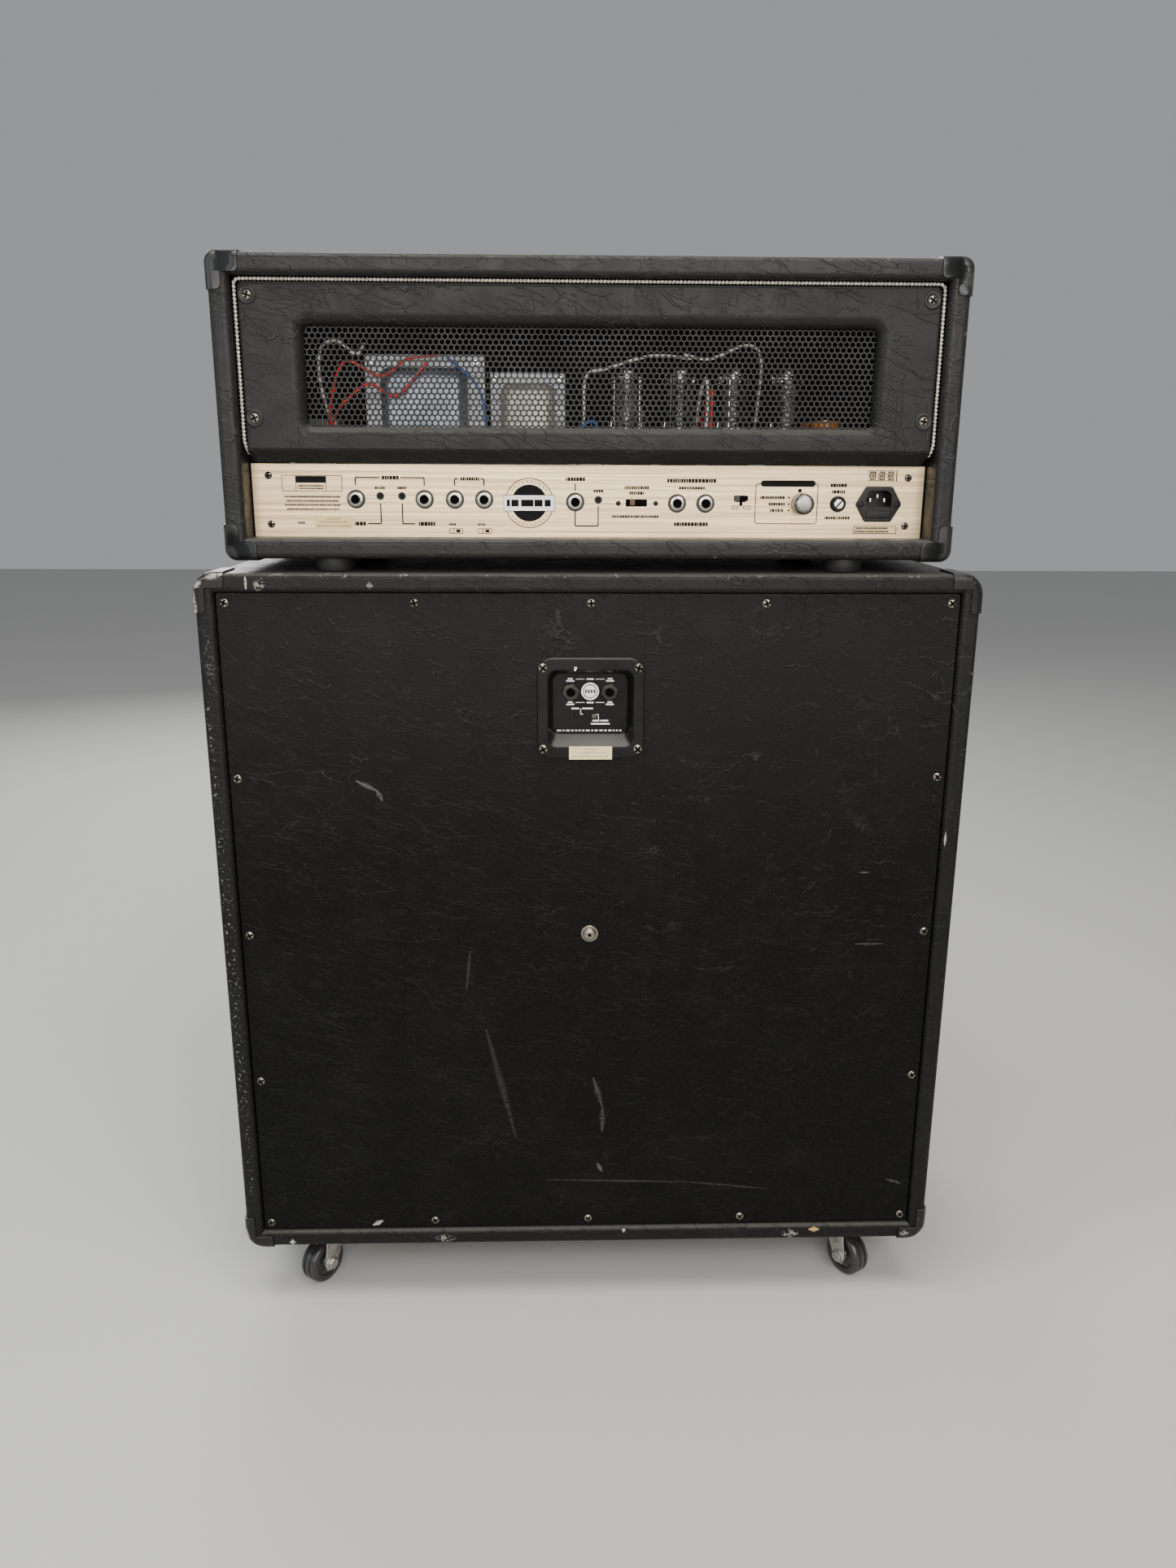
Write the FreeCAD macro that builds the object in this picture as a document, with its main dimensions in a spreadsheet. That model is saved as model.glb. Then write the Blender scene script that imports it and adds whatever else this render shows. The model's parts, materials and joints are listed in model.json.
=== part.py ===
import FreeCAD, Part
import math
import os
import Sketcher
from FreeCAD import Placement, Rotation, Vector

# Guitar amplifier, half stack: a tube head resting on a 4x12 speaker cabinet on casters.
# Frame: +Z up, origin on the floor under the middle, grille cloth towards -Y, rear panels towards +Y.

DIMENSIONS = {
    # speaker cabinet
    "cab_width": 760, "cab_depth": 360, "cab_height": 744, "cab_board": 18, "cab_corner": 20,
    "rim_round": 5, "panel_gap": 1, "panel_recess": 5, "panel_thick": 15, "cleat_size": 20,
    "baffle_y": 150, "baffle_thick": 18, "speaker_pitch": 330, "speaker_hole": 140,
    "cloth_y": 168, "cloth_thick": 3, "frame_thick": 12, "frame_border": 28, "piping_radius": 2.3,
    "piping_corner": 2.7, "piping_gap": 0.2,
    "post_width": 44, "post_height": 30,
    "screw_x_outer": 353, "screw_x_inner": 171, "screw_z_outer": 344, "screw_z_inner": 168.5,
    "screw_radius": 4, "screw_proud": 1.6, "shank_radius": 1.8, "shank_length": 14,
    "centre_bolt_radius": 4, "centre_washer_radius": 9, "centre_washer_thick": 1.5,
    "centre_bolt_proud": 3,
    # speakers, measured from the back face of the baffle
    "surround_in": 120, "speaker_rim": 154, "gasket_thick": 3, "basket_neck": 64,
    "basket_depth": 74, "basket_metal": 2, "basket_wall": 6, "magnet_radius": 78,
    "magnet_thick": 24, "cone_radius": 118, "cone_front": 1.5, "cone_paper": 2, "cone_depth": 51,
    "coil_radius": 32, "coil_wall": 2, "coil_end": 66, "cap_radius": 18, "cap_front": 40,
    "cap_paper": 1.5, "cap_rise": 2,
    # corner protectors
    "guard_thick": 2, "cab_guard_wide": 29, "cab_guard_thin": 13.5, "cab_guard_tall": 37,
    "cab_guard_slim": 10, "cab_guard_deep": 45,
    "head_guard_wide": 29, "head_guard_thin": 17, "head_guard_tall": 32, "head_guard_slim": 13,
    "head_guard_deep": 36,
    # side handles
    "handle_width": 150, "handle_height": 92, "handle_depth": 43, "handle_lip": 14,
    "handle_wall": 2.5, "handle_z": 520, "grip_radius": 9,
    # jack dish on the rear panel
    "dish_width": 106, "dish_height": 101, "dish_z": 684, "dish_lip": 2.5,
    "dish_open_width": 84, "dish_open_height": 76, "dish_floor_width": 75, "dish_floor_height": 62,
    "dish_depth": 22, "dish_wall": 2, "dish_jack_x": 19.5, "dish_jack_rise": 13,
    "dish_switch_drop": 12, "dish_screw_x": 47.2, "dish_screw_z": 41,
    # casters
    "caster_height": 72, "caster_x": 296, "caster_y": 122, "caster_trail": 20,
    "wheel_radius": 25, "wheel_width": 23, "core_radius": 17, "axle_radius": 4, "axle_half": 19.5,
    "fork_outer": 31, "fork_inner": 27, "fork_top": 63, "fork_disc": 22, "fork_web": 3,
    "plate_size": 62, "plate_thick": 3, "race_radius": 20, "pin_radius": 5, "rivet_radius": 8,
    "plate_screw": 23, "turn_gap": 0.3, "shaft_gap": 0.05, "rivet_thick": 3, "axle_nut": 7,
    "cheek_front": 13, "cheek_back": 24, "cheek_slope": 4, "cheek_low": 17,
    "caster_screw_radius": 4.5, "caster_screw_proud": 2, "tread_skirt": 3, "groove_deep": 1.5,
    "groove_in": 3, "groove_out": 4.5,
    # amplifier head
    "foot_height": 13, "foot_radius": 19, "foot_x": 250, "foot_y": 118,
    "head_width": 697, "head_depth": 290, "head_height": 272, "head_board": 19, "head_corner": 9,
    "head_shift": 25, "head_rim": 6,
    "rear_panel_x": 324, "rear_panel_low": 918, "rear_panel_high": 1077, "rear_panel_back": 162,
    "rear_panel_thick": 15, "rear_bevel": 12, "vent_x": 268, "vent_low": 951, "vent_high": 1041,
    "mesh_margin": 8, "mesh_thick": 1.5, "rear_screw_x": 315, "rear_screw_low": 958,
    "rear_screw_high": 1065.5, "cup_radius": 6.5, "front_board_thick": 12,
    # chassis and control plates
    "chassis_x": 322, "chassis_front": 110, "chassis_back": 133, "chassis_height": 67,
    "chassis_wall": 1.5, "plate_back": 135, "rear_plate_x": 328, "rear_plate_high": 920,
    "plate_metal": 2, "front_plate_x": 328, "front_plate_high": 922, "plate_screw_x": 312,
    "plate_screw_low": 860, "plate_screw_high": 906, "plate_screw_radius": 3.25,
    "plate_screw_proud": 1.4,
    # jacks
    "jack_bore": 3.3, "jack_bush": 4.7, "jack_bush_proud": 6, "jack_nut": 7.4, "jack_nut_thick": 3,
    "jack_body": 19, "jack_body_deep": 26, "jack_bore_deep": 24, "hole_ease": 0.2,
    # rear controls
    "mode_radius": 10.3, "mode_length": 15, "mode_gap": 1.5, "shaft_radius": 3,
    "shaft_deep": 14, "trim_radius": 2.4, "trim_body": 6, "trim_proud": 0.6, "trim_deep": 10,
    "fuse_radius": 7.5, "fuse_cap_radius": 5.5, "fuse_bezel": 4, "fuse_deep": 30,
    "fuse_plug_deep": 8, "fuse_cap_proud": 6,
    "inlet_width": 45.5, "inlet_flat": 26, "inlet_height": 34, "inlet_lip": 3,
    "inlet_deep": 24, "cavity_width": 25, "cavity_height": 16, "cavity_deep": 19,
    "cavity_rise": 5, "drawer_width": 24, "drawer_height": 6, "drawer_drop": 10, "drawer_deep": 20,
    "slider_width": 5, "slider_height": 4, "slider_proud": 3, "slider_travel": 8,
    "pin_wide": 2, "pin_high": 4, "pin_pitch": 7,
    # valves and transformers
    "deck_z": 915, "power_tube_radius": 17, "power_tube_height": 96, "power_tube_y": 70,
    "power_tube_x": -38, "power_tube_pitch": 54, "power_base": 20, "tube_tip": 12,
    "pre_tube_radius": 11, "pre_tube_height": 54, "pre_tube_y": -30, "pre_tube_x": -60,
    "pre_tube_pitch": 50, "pre_tip": 6, "socket_height": 9,
    "mains_width": 120, "mains_depth": 92, "mains_height": 96, "mains_x": 165,
    "output_width": 76, "output_depth": 66, "output_height": 74, "output_x": 62,
    "choke_width": 52, "choke_depth": 44, "choke_height": 46, "choke_x": 282,
    "lamination_share": 0.5, "bell_wide_share": 0.72, "bell_high_share": 0.76,
    "transformer_y": 45, "board_margin": 20, "board_front": 80, "board_depth": 165,
    "board_rise": 6, "board_thick": 2, "capacitor_radius": 16, "capacitor_height": 48,
    "capacitor_x": -248, "capacitor_y": 40, "capacitor_pitch": 50, "pot_radius": 8,
    "pot_deep": 20, "pot_bore_deep": 15, "trimmer_deep": 16, "trimmer_bore_deep": 12,
    # front controls
    "knob_radius": 12, "knob_length": 15, "knob_gap": 1.5, "knob_first_x": 30, "knob_pitch": 48,
    "front_z": 884, "input_x": -285, "lamp_x": 240, "lamp_radius": 7, "rocker_power_x": 296,
    "rocker_standby_x": 268, "rocker_width": 12, "rocker_radius": 11, "rocker_sink": 6,
    "knob_skirt": 4, "knob_grip": 8.5, "lamp_proud": 4, "lamp_deep": 18,
    # strap handle on the top
    "strap_length": 232, "strap_width": 26, "strap_thick": 5, "strap_rise": 18,
    "strap_end_length": 34, "strap_end_rise": 3, "strap_end_side": 3,
}
CONTROLS = {
    # place of each rear control: distance from the middle along +X, and height
    "send_jack": (228.5, 884), "send_trim": (205, 887), "return_trim": (184, 887),
    "return_jack": (162, 884), "footswitch_one": (132.5, 884), "footswitch_two": (104, 884),
    "line_jack": (15, 882), "line_trim": (-7.6, 884), "impedance_slide": (-45, 882),
    "speaker_one": (-85, 881), "speaker_two": (-113, 881), "ground_slide": (-148, 886),
    "mode": (-208, 881), "fuse": (-244, 881), "inlet": (-284, 881),
}
REAR_JACKS = ("send_jack", "return_jack", "footswitch_one", "footswitch_two", "line_jack",
              "speaker_one", "speaker_two")
TRIMS = ("send_trim", "return_trim", "line_trim")
KNOBS = ("presence", "treble", "middle", "bass", "volume")
CASTER_HEADINGS = {1: -35, 2: 32, 3: 118, 4: 205}
CASTER_SIDES = {1: (1, 1), 2: (-1, 1), 3: (-1, -1), 4: (1, -1)}
UPRIGHT = Rotation()
ALONG = {
    "X": Rotation(Vector(0, 1, 0), 90),
    "Y": Rotation(Vector(1, 0, 0), -90),
    "Z": UPRIGHT,
}
FACING_FRONT = Rotation(Vector(0, 0, 1), 180)


class Size:
    """A length that knows both its value and its formula in the spreadsheet."""

    def __init__(self, value, text=None):
        self.value = float(value)
        self.text = text or "(%r)" % float(value)

    def _with(self, other, sign, value):
        return Size(value, "(%s %s %s)" % (self.text, sign, as_size(other).text))

    def __add__(self, other):
        return self._with(other, "+", self.value + as_size(other).value)

    def __radd__(self, other):
        return as_size(other) + self

    def __sub__(self, other):
        return self._with(other, "-", self.value - as_size(other).value)

    def __rsub__(self, other):
        return as_size(other) - self

    def __mul__(self, other):
        return self._with(other, "*", self.value * as_size(other).value)

    def __rmul__(self, other):
        return as_size(other) * self

    def __truediv__(self, other):
        return self._with(other, "/", self.value / as_size(other).value)

    def __neg__(self):
        return 0 - self


def as_size(number):
    return number if isinstance(number, Size) else Size(number)


class Sheet:
    """The driving dimensions: one aliased spreadsheet cell for each."""

    def __init__(self, document, cells):
        self.sheet = document.addObject("Spreadsheet::Sheet", "dims")
        self.cells = cells
        for row, (alias, number) in enumerate(cells.items(), start=1):
            self.sheet.set("A%d" % row, alias)
            self.sheet.set("B%d" % row, str(number))
            self.sheet.setAlias("B%d" % row, alias)

    def __getattr__(self, alias):
        return Size(self.cells[alias], "dims." + alias)


doc = FreeCAD.newDocument("guitar_amplifier")
for control, (control_x, control_z) in CONTROLS.items():
    DIMENSIONS[control + "_x"] = control_x
    DIMENSIONS[control + "_z"] = control_z
d = Sheet(doc, DIMENSIONS)
doc.recompute()
nodes = []


# ---------------------------------------------------------------- general helpers

def bind(thing, **sizes):
    """Set each property to its value and tie it to its formula."""
    for prop, size in sizes.items():
        size = as_size(size)
        setattr(thing, prop, size.value)
        thing.setExpression(prop, size.text)
    return thing


def place(thing, at=(0, 0, 0), turn=UPRIGHT):
    at = [as_size(value) for value in at]
    thing.Placement = Placement(Vector(*[value.value for value in at]), turn)
    for axis, value in zip("xyz", at):
        thing.setExpression("Placement.Base." + axis, value.text)
    return thing


def block(name, low, size):
    """Box from its low corner."""
    box = bind(doc.addObject("Part::Box", name), Length=size[0], Width=size[1], Height=size[2])
    return place(box, low)


def rod(name, start, axis, radius, length):
    """Cylinder from a start point along +X, +Y or +Z."""
    cylinder = bind(doc.addObject("Part::Cylinder", name), Radius=radius, Height=length)
    return place(cylinder, start, ALONG[axis])


def cone(name, start, axis, radius_one, radius_two, length):
    solid = doc.addObject("Part::Cone", name)
    bind(solid, Radius1=radius_one, Radius2=radius_two, Height=length)
    return place(solid, start, ALONG[axis])


def hexagon(name, start, axis, radius, length):
    prism = doc.addObject("Part::Prism", name)
    prism.Polygon = 6
    bind(prism, Circumradius=radius, Height=length)
    return place(prism, start, ALONG[axis])


def taper(name, low_y, depth, near, far):
    """Block along Y whose rectangle goes from near to far, each (half width, low z, high z)."""
    wedge = doc.addObject("Part::Wedge", name)
    bind(wedge, Ymin=0, Ymax=depth, Xmin=-near[0], Xmax=near[0], Zmin=near[1], Zmax=near[2],
         X2min=-far[0], X2max=far[0], Z2min=far[1], Z2max=far[2])
    return place(wedge, (0, low_y, 0))


def cut(name, base, *tools):
    result = base
    for number, tool in enumerate(tools):
        boolean = doc.addObject("Part::Cut", "%s_cut_%d" % (name, number))
        boolean.Base = result
        boolean.Tool = tool
        result = boolean
    return result


def fuse(name, *pieces):
    joined = doc.addObject("Part::MultiFuse", name)
    joined.Shapes = list(pieces)
    joined.Refine = True
    return joined


def common(name, *pieces):
    shared = doc.addObject("Part::MultiCommon", name)
    shared.Shapes = list(pieces)
    return shared


def group(name, *pieces):
    """Separate solids kept side by side in one object."""
    compound = doc.addObject("Part::Compound", name)
    compound.Links = list(pieces)
    return compound


def copies(name, source, spots, turn=UPRIGHT):
    """Linked copies of one piece at several spots."""
    links = []
    for number, spot in enumerate(spots):
        link = doc.addObject("App::Link", "%s_%d" % (name, number))
        link.LinkedObject = source
        link.LinkTransform = True
        links.append(place(link, spot, turn))
    return group(name, *links)


def node(label, thing):
    """Name a finished sub-part."""
    thing.Label = label
    nodes.append(thing)
    return thing


def body(name):
    return doc.addObject("PartDesign::Body", name)


def outline(owner, plane, points):
    """Closed polygon sketch on one of the body's origin planes, each corner tied to the sheet."""
    sketch = owner.newObject("Sketcher::SketchObject", owner.Name + "_outline")
    base = [item for item in owner.Origin.OriginFeatures if item.Role == plane][0]
    sketch.AttachmentSupport = (base, [""])
    sketch.MapMode = "FlatFace"
    corners = [[as_size(value) for value in point] for point in points]
    vectors = [Vector(corner[0].value, corner[1].value, 0) for corner in corners]
    count = len(vectors)
    for index in range(count):
        sketch.addGeometry(Part.LineSegment(vectors[index], vectors[(index + 1) % count]))
    for index in range(count):
        sketch.addConstraint(Sketcher.Constraint("Coincident", index, 2, (index + 1) % count, 1))
    for index, corner in enumerate(corners):
        for kind, size in zip(("DistanceX", "DistanceY"), corner):
            rule = Sketcher.Constraint(kind, -1, 1, index, 1, size.value)
            number = sketch.addConstraint(rule)
            sketch.setExpression("Constraints[%d]" % number, size.text)
    return sketch


def rectangle(low, high):
    return [(low[0], low[1]), (high[0], low[1]), (high[0], high[1]), (low[0], high[1])]


def pad(owner, sketch, length):
    """Extrude a sketch evenly to both sides of its plane."""
    feature = owner.newObject("PartDesign::Pad", owner.Name + "_pad")
    feature.Profile = sketch
    feature.Midplane = True
    bind(feature, Length=length)
    return feature


def pocket(owner, sketch):
    """Cut a sketch right through, both ways."""
    feature = owner.newObject("PartDesign::Pocket", owner.Name + "_pocket")
    feature.Profile = sketch
    feature.Type = "ThroughAll"
    feature.Midplane = True
    return feature


def revolve(owner, sketch, axis):
    feature = owner.newObject("PartDesign::Revolution", owner.Name + "_turned")
    feature.Profile = sketch
    feature.ReferenceAxis = (sketch, [axis])
    feature.Angle = 360
    return feature


def fillet(owner, base, radius, wanted):
    """Round the edges of a feature that a test picks out."""
    doc.recompute()
    names = ["Edge%d" % (index + 1) for index, edge in enumerate(base.Shape.Edges) if wanted(edge)]
    feature = owner.newObject("PartDesign::Fillet", owner.Name + "_round")
    feature.Base = (base, names)
    bind(feature, Radius=radius)
    return feature


def runs_along_y(edge):
    ends = [vertex.Point for vertex in edge.Vertexes]
    return len(ends) == 2 and abs(ends[0].y - ends[1].y) > 1


def lies_across_y(edge):
    return edge.BoundBox.YLength < 1e-6


def rounded_box(name, width, depth, height, corner, rim, at, board=None):
    """Wooden box with rounded corners and rims; with a board thickness it is an open sleeve."""
    box = body(name)
    sketch = outline(box, "XZ_Plane", rectangle((-width / 2, 0), (width / 2, height)))
    shape = fillet(box, pad(box, sketch, depth), corner, runs_along_y)
    if board is not None:
        inside = rectangle((-width / 2 + board, board), (width / 2 - board, height - board))
        shape = pocket(box, outline(box, "XZ_Plane", inside))
    fillet(box, shape, rim, lies_across_y)
    return place(box, at)


def guards(name, sizes, corner, rim, at, arms):
    """Eight corner protectors: a thin skin round the box, kept only at its corners."""
    width, depth, height = sizes
    wide, thin, tall, slim, deep = arms
    skin = d.guard_thick
    grown = rounded_box(name + "_outer", width + 2 * skin, depth + 2 * skin, height + 2 * skin,
                        corner + skin, rim + skin, (at[0], at[1], at[2] - skin))
    inner = rounded_box(name + "_inner", width, depth, height, corner, rim, at)
    hollow = cut(name + "_skin", grown, inner)
    zones = []
    for index, (reach_x, reach_z) in enumerate(((wide, thin), (slim, tall))):
        zone = block("%s_zone_%d" % (name, index), (0, 0, 0), (reach_x + skin, deep + skin,
                                                               reach_z + skin))
        spots = []
        for side_x in (0, 1):
            for side_y in (0, 1):
                for side_z in (0, 1):
                    spots.append((
                        width / 2 - reach_x if side_x else -width / 2 - skin,
                        at[1] + depth / 2 - deep if side_y else at[1] - depth / 2 - skin,
                        at[2] + height - reach_z if side_z else at[2] - skin))
        zones.append(copies("%s_zones_%d" % (name, index), zone, spots))
    return common(name, hollow, fuse(name + "_arms", *zones))


def piping(name, half_width, low, high, y):
    """Round cord laid in a rounded rectangle, upright in the XZ plane."""
    corner = d.piping_corner.value
    path = doc.addObject("Sketcher::SketchObject", name + "_path")
    centre_z = (low + high) / 2
    place(path, (0, y, centre_z), Rotation(Vector(1, 0, 0), 90))
    half = (half_width.value, (high.value - low.value) / 2)
    turns = ((1, -1), (1, 1), (-1, 1), (-1, -1))
    for index, (sx, sz) in enumerate(turns):
        start = -math.pi / 2 + index * math.pi / 2
        middle = Vector(sx * (half[0] - corner), sz * (half[1] - corner), 0)
        circle = Part.Circle(middle, Vector(0, 0, 1), corner)
        path.addGeometry(Part.ArcOfCircle(circle, start, start + math.pi / 2))
    arcs = [path.Geometry[index] for index in range(4)]
    for index in range(4):
        following = arcs[(index + 1) % 4]
        path.addGeometry(Part.LineSegment(arcs[index].EndPoint, following.StartPoint))
    section = bind(doc.addObject("Part::Circle", name + "_section"), Radius=d.piping_radius)
    place(section, (0, y, low), ALONG["X"])
    sweep = doc.addObject("Part::Sweep", name)
    sweep.Sections = [section]
    sweep.Spine = (path, [])
    sweep.Solid = True
    return sweep


# ---------------------------------------------------------------- levels shared by the pieces
cab_low = d.caster_height
cab_high = cab_low + d.cab_height
cab_middle = cab_low + d.cab_height / 2
cab_inside_x = d.cab_width / 2 - d.cab_board
cab_inside_low = cab_low + d.cab_board
cab_inside_high = cab_high - d.cab_board
panel_back = d.cab_depth / 2 - d.panel_recess
panel_front = panel_back - d.panel_thick
baffle_back = -d.baffle_y + d.baffle_thick
head_low = cab_high + d.foot_height
head_high = head_low + d.head_height
chassis_low = head_low + d.head_board
speaker_spots = [(sx * d.speaker_pitch / 2, baffle_back, cab_middle + sz * d.speaker_pitch / 2)
                 for sx in (-1, 1) for sz in (-1, 1)]
wall_thick = d.plate_metal + d.chassis_wall


def control_spot(name, y, shift=0):
    """Where a rear control sits, at a given depth."""
    return (getattr(d, name + "_x") + shift, y, getattr(d, name + "_z"))


# ---------------------------------------------------------------- screws
def screw(name, radius, length):
    """Domed screw along +Y: its head stands on y = 0 and its shank goes into -Y."""
    dome = cone(name + "_dome", (0, 0, 0), "Y", radius, radius * 0.55, d.screw_proud)
    shank = rod(name + "_shank", (0, -length, 0), "Y", d.shank_radius, length)
    return fuse(name, dome, shank)


panel_screw = screw("panel_screw", d.screw_radius, d.shank_length)
cup_screw = screw("cup_screw", d.cup_radius, d.shank_length)
screw_bore = rod("screw_bore", (0, -d.shank_length, 0), "Y", d.shank_radius, d.shank_length)
cab_screw_spots = []
for row in (-1, 1):
    for column in (-2, -1, 0, 1, 2):
        reach = d.screw_x_outer if abs(column) == 2 else d.screw_x_inner
        side = 0 if column == 0 else int(math.copysign(1, column))
        cab_screw_spots.append((side * reach, panel_back, cab_middle + row * d.screw_z_outer))
for row in (-1, 0, 1):
    for side in (-1, 1):
        cab_screw_spots.append((side * d.screw_x_outer, panel_back,
                                cab_middle + row * d.screw_z_inner))
dish_screw_spots = [(sx * d.dish_screw_x, panel_back + d.dish_lip, d.dish_z + sz * d.dish_screw_z)
                    for sx in (-1, 1) for sz in (-1, 1)]
all_cab_screws = cab_screw_spots + dish_screw_spots
cab_bores = copies("cab_bores", screw_bore, all_cab_screws)


# ---------------------------------------------------------------- speaker cabinet
def build_cab_shell():
    """Four boards with a window in each side for the recessed handles."""
    shell = rounded_box("cab_box", d.cab_width, d.cab_depth, d.cab_height, d.cab_corner,
                        d.rim_round, (0, 0, cab_low), d.cab_board)
    window = block("handle_window", (-d.cab_width, -d.handle_width / 2,
                                     d.handle_z - d.handle_height / 2),
                   (2 * d.cab_width, d.handle_width, d.handle_height))
    node("cab_shell", cut("cab_shell", shell, window))


def build_rear_panel():
    board = block("rear_board", (-cab_inside_x + d.panel_gap, panel_front,
                                 cab_inside_low + d.panel_gap),
                  (2 * (cab_inside_x - d.panel_gap), d.panel_thick,
                   cab_inside_high - cab_inside_low - 2 * d.panel_gap))
    edge = d.dish_wall
    opening = block("dish_window", (-d.dish_open_width / 2 - edge, panel_front,
                                    d.dish_z - d.dish_open_height / 2 - edge),
                    (d.dish_open_width + 2 * edge, d.panel_thick,
                     d.dish_open_height + 2 * edge))
    bolt = rod("bolt_hole", (0, panel_front, cab_middle), "Y", d.centre_bolt_radius, d.panel_thick)
    node("cab_back_panel", cut("cab_back_panel", board, opening, bolt, cab_bores))


def build_baffle():
    board = block("baffle_board", (-cab_inside_x, -d.baffle_y, cab_inside_low),
                  (2 * cab_inside_x, d.baffle_thick, cab_inside_high - cab_inside_low))
    hole = rod("speaker_hole_tool", (0, -d.baffle_thick, 0), "Y", d.speaker_hole, d.baffle_thick)
    node("cab_baffle", cut("cab_baffle", board, copies("speaker_holes", hole, speaker_spots)))


def build_grille():
    """Cloth stretched over a frame, with piping in the gap round it."""
    gap = 2 * (d.piping_radius + 2 * d.piping_gap)
    half_x = cab_inside_x - gap
    low = cab_inside_low + gap
    high = cab_inside_high - gap
    cloth = block("cloth", (-half_x, -d.cloth_y, low), (2 * half_x, d.cloth_thick, high - low))
    node("cab_grille_cloth", cloth)
    edge = d.piping_radius + d.piping_gap
    node("cab_piping", piping("cab_piping", cab_inside_x - edge, cab_inside_low + edge,
                              cab_inside_high - edge, -d.cloth_y))
    return half_x, low, high


def build_bracing(half_x, low, high):
    """Centre post, rear battens and the wooden frame behind the cloth."""
    post = block("post", (-d.post_width / 2, baffle_back, cab_middle - d.post_height / 2),
                 (d.post_width, panel_front - baffle_back, d.post_height))
    size = d.cleat_size
    inside = (cab_inside_x, cab_inside_low, cab_inside_high)
    pieces = [post]
    for label, level in (("low", inside[1]), ("high", inside[2] - size)):
        pieces.append(block("batten_" + label, (-inside[0], panel_front - size, level),
                            (2 * inside[0], size, size)))
    for label, start in (("left", -inside[0]), ("right", inside[0] - size)):
        pieces.append(block("batten_" + label, (start, panel_front - size, inside[1] + size),
                            (size, size, inside[2] - inside[1] - 2 * size)))
    outer = block("grille_frame_outer", (-half_x, -d.cloth_y + d.cloth_thick, low),
                  (2 * half_x, d.frame_thick, high - low))
    border = d.frame_border
    inner = block("grille_frame_inner", (-half_x + border, -d.cloth_y + d.cloth_thick,
                                         low + border),
                  (2 * half_x - 2 * border, d.frame_thick, high - low - 2 * border))
    frame = cut("grille_frame", outer, inner)
    drilled = cut("battens_drilled", fuse("batten_ring", *pieces[1:]), cab_bores)
    node("cab_bracing", group("cab_bracing", post, drilled, frame))


def build_cab_guards():
    node("cab_corners", guards(
        "cab_guard", (d.cab_width, d.cab_depth, d.cab_height), d.cab_corner, d.rim_round,
        (0, 0, cab_low), (d.cab_guard_wide, d.cab_guard_thin, d.cab_guard_tall,
                          d.cab_guard_slim, d.cab_guard_deep)))


def build_side_handles():
    """Recessed cups: a flange on the side board, a tray through it and a grip bar across."""
    wall = d.handle_wall
    half = (d.handle_width / 2, d.handle_height / 2)
    tray = block("cup_tray", (-d.handle_depth, -half[0], -half[1]),
                 (d.handle_depth, d.handle_width, d.handle_height))
    flange = block("cup_flange", (0, -half[0] - d.handle_lip, -half[1] - d.handle_lip),
                   (d.guard_thick, d.handle_width + 2 * d.handle_lip,
                    d.handle_height + 2 * d.handle_lip))
    hollow = block("cup_hollow", (-d.handle_depth + wall, -half[0] + wall, -half[1] + wall),
                   (d.handle_depth + d.guard_thick, d.handle_width - 2 * wall,
                    d.handle_height - 2 * wall))
    dish = cut("cup_dish", fuse("cup_block", tray, flange), hollow)
    bar = rod("cup_bar", (-d.grip_radius - 1, -half[0], half[1] - 2.4 * d.grip_radius), "Y",
              d.grip_radius, d.handle_width)
    cup = fuse("side_handle", dish, bar)
    right = copies("right_handle", cup, [(d.cab_width / 2, 0, d.handle_z)])
    left = copies("left_handle", cup, [(-d.cab_width / 2, 0, d.handle_z)], FACING_FRONT)
    node("cab_side_handles", group("cab_side_handles", right, left))


def build_jack_dish():
    """Moulded plate with a tapered well for the speaker inputs."""
    lip = block("dish_plate", (-d.dish_width / 2, panel_back, d.dish_z - d.dish_height / 2),
                (d.dish_width, d.dish_lip, d.dish_height))
    wall = d.dish_wall
    centre = d.dish_z
    floor = (d.dish_floor_width / 2, d.dish_floor_height / 2)
    mouth = (d.dish_open_width / 2, d.dish_open_height / 2)
    depth = d.dish_depth
    outer = taper("dish_outer", panel_back - depth - wall, depth + wall,
                  (floor[0] + wall, centre - floor[1] - wall, centre + floor[1] + wall),
                  (mouth[0] + wall, centre - mouth[1] - wall, centre + mouth[1] + wall))
    well = taper("dish_well", panel_back - depth, depth + d.dish_lip,
                 (floor[0], centre - floor[1], centre + floor[1]),
                 (mouth[0], centre - mouth[1], centre + mouth[1]))
    floor_back = panel_back - depth
    tools = []
    for index, side in enumerate((-1, 1)):
        tools.append(rod("dish_jack_hole_%d" % index,
                         (side * d.dish_jack_x, floor_back - wall, centre + d.dish_jack_rise),
                         "Y", d.jack_bush, wall))
    slot_wide = d.slider_width + d.slider_travel + 1
    tools.append(block("dish_slot", (-slot_wide / 2, floor_back - wall,
                                     centre - d.dish_switch_drop - d.slider_height / 2 - 0.5),
                       (slot_wide, wall, d.slider_height + 1)))
    shape = cut("dish", fuse("dish_body", lip, outer), well, *tools)
    node("cab_jack_dish", cut("cab_jack_dish", shape, cab_bores))
    jack = build_jack("cab_jack", wall)
    spots = [(side * d.dish_jack_x, floor_back, centre + d.dish_jack_rise) for side in (-1, 1)]
    node("cab_jacks", copies("cab_jacks", jack, spots))
    knob = slider("stereo_slider", (-slot_wide / 2 + 0.5 + d.slider_width / 2, floor_back,
                                    centre - d.dish_switch_drop), wall)
    node("stereo_slider", knob)


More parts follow.
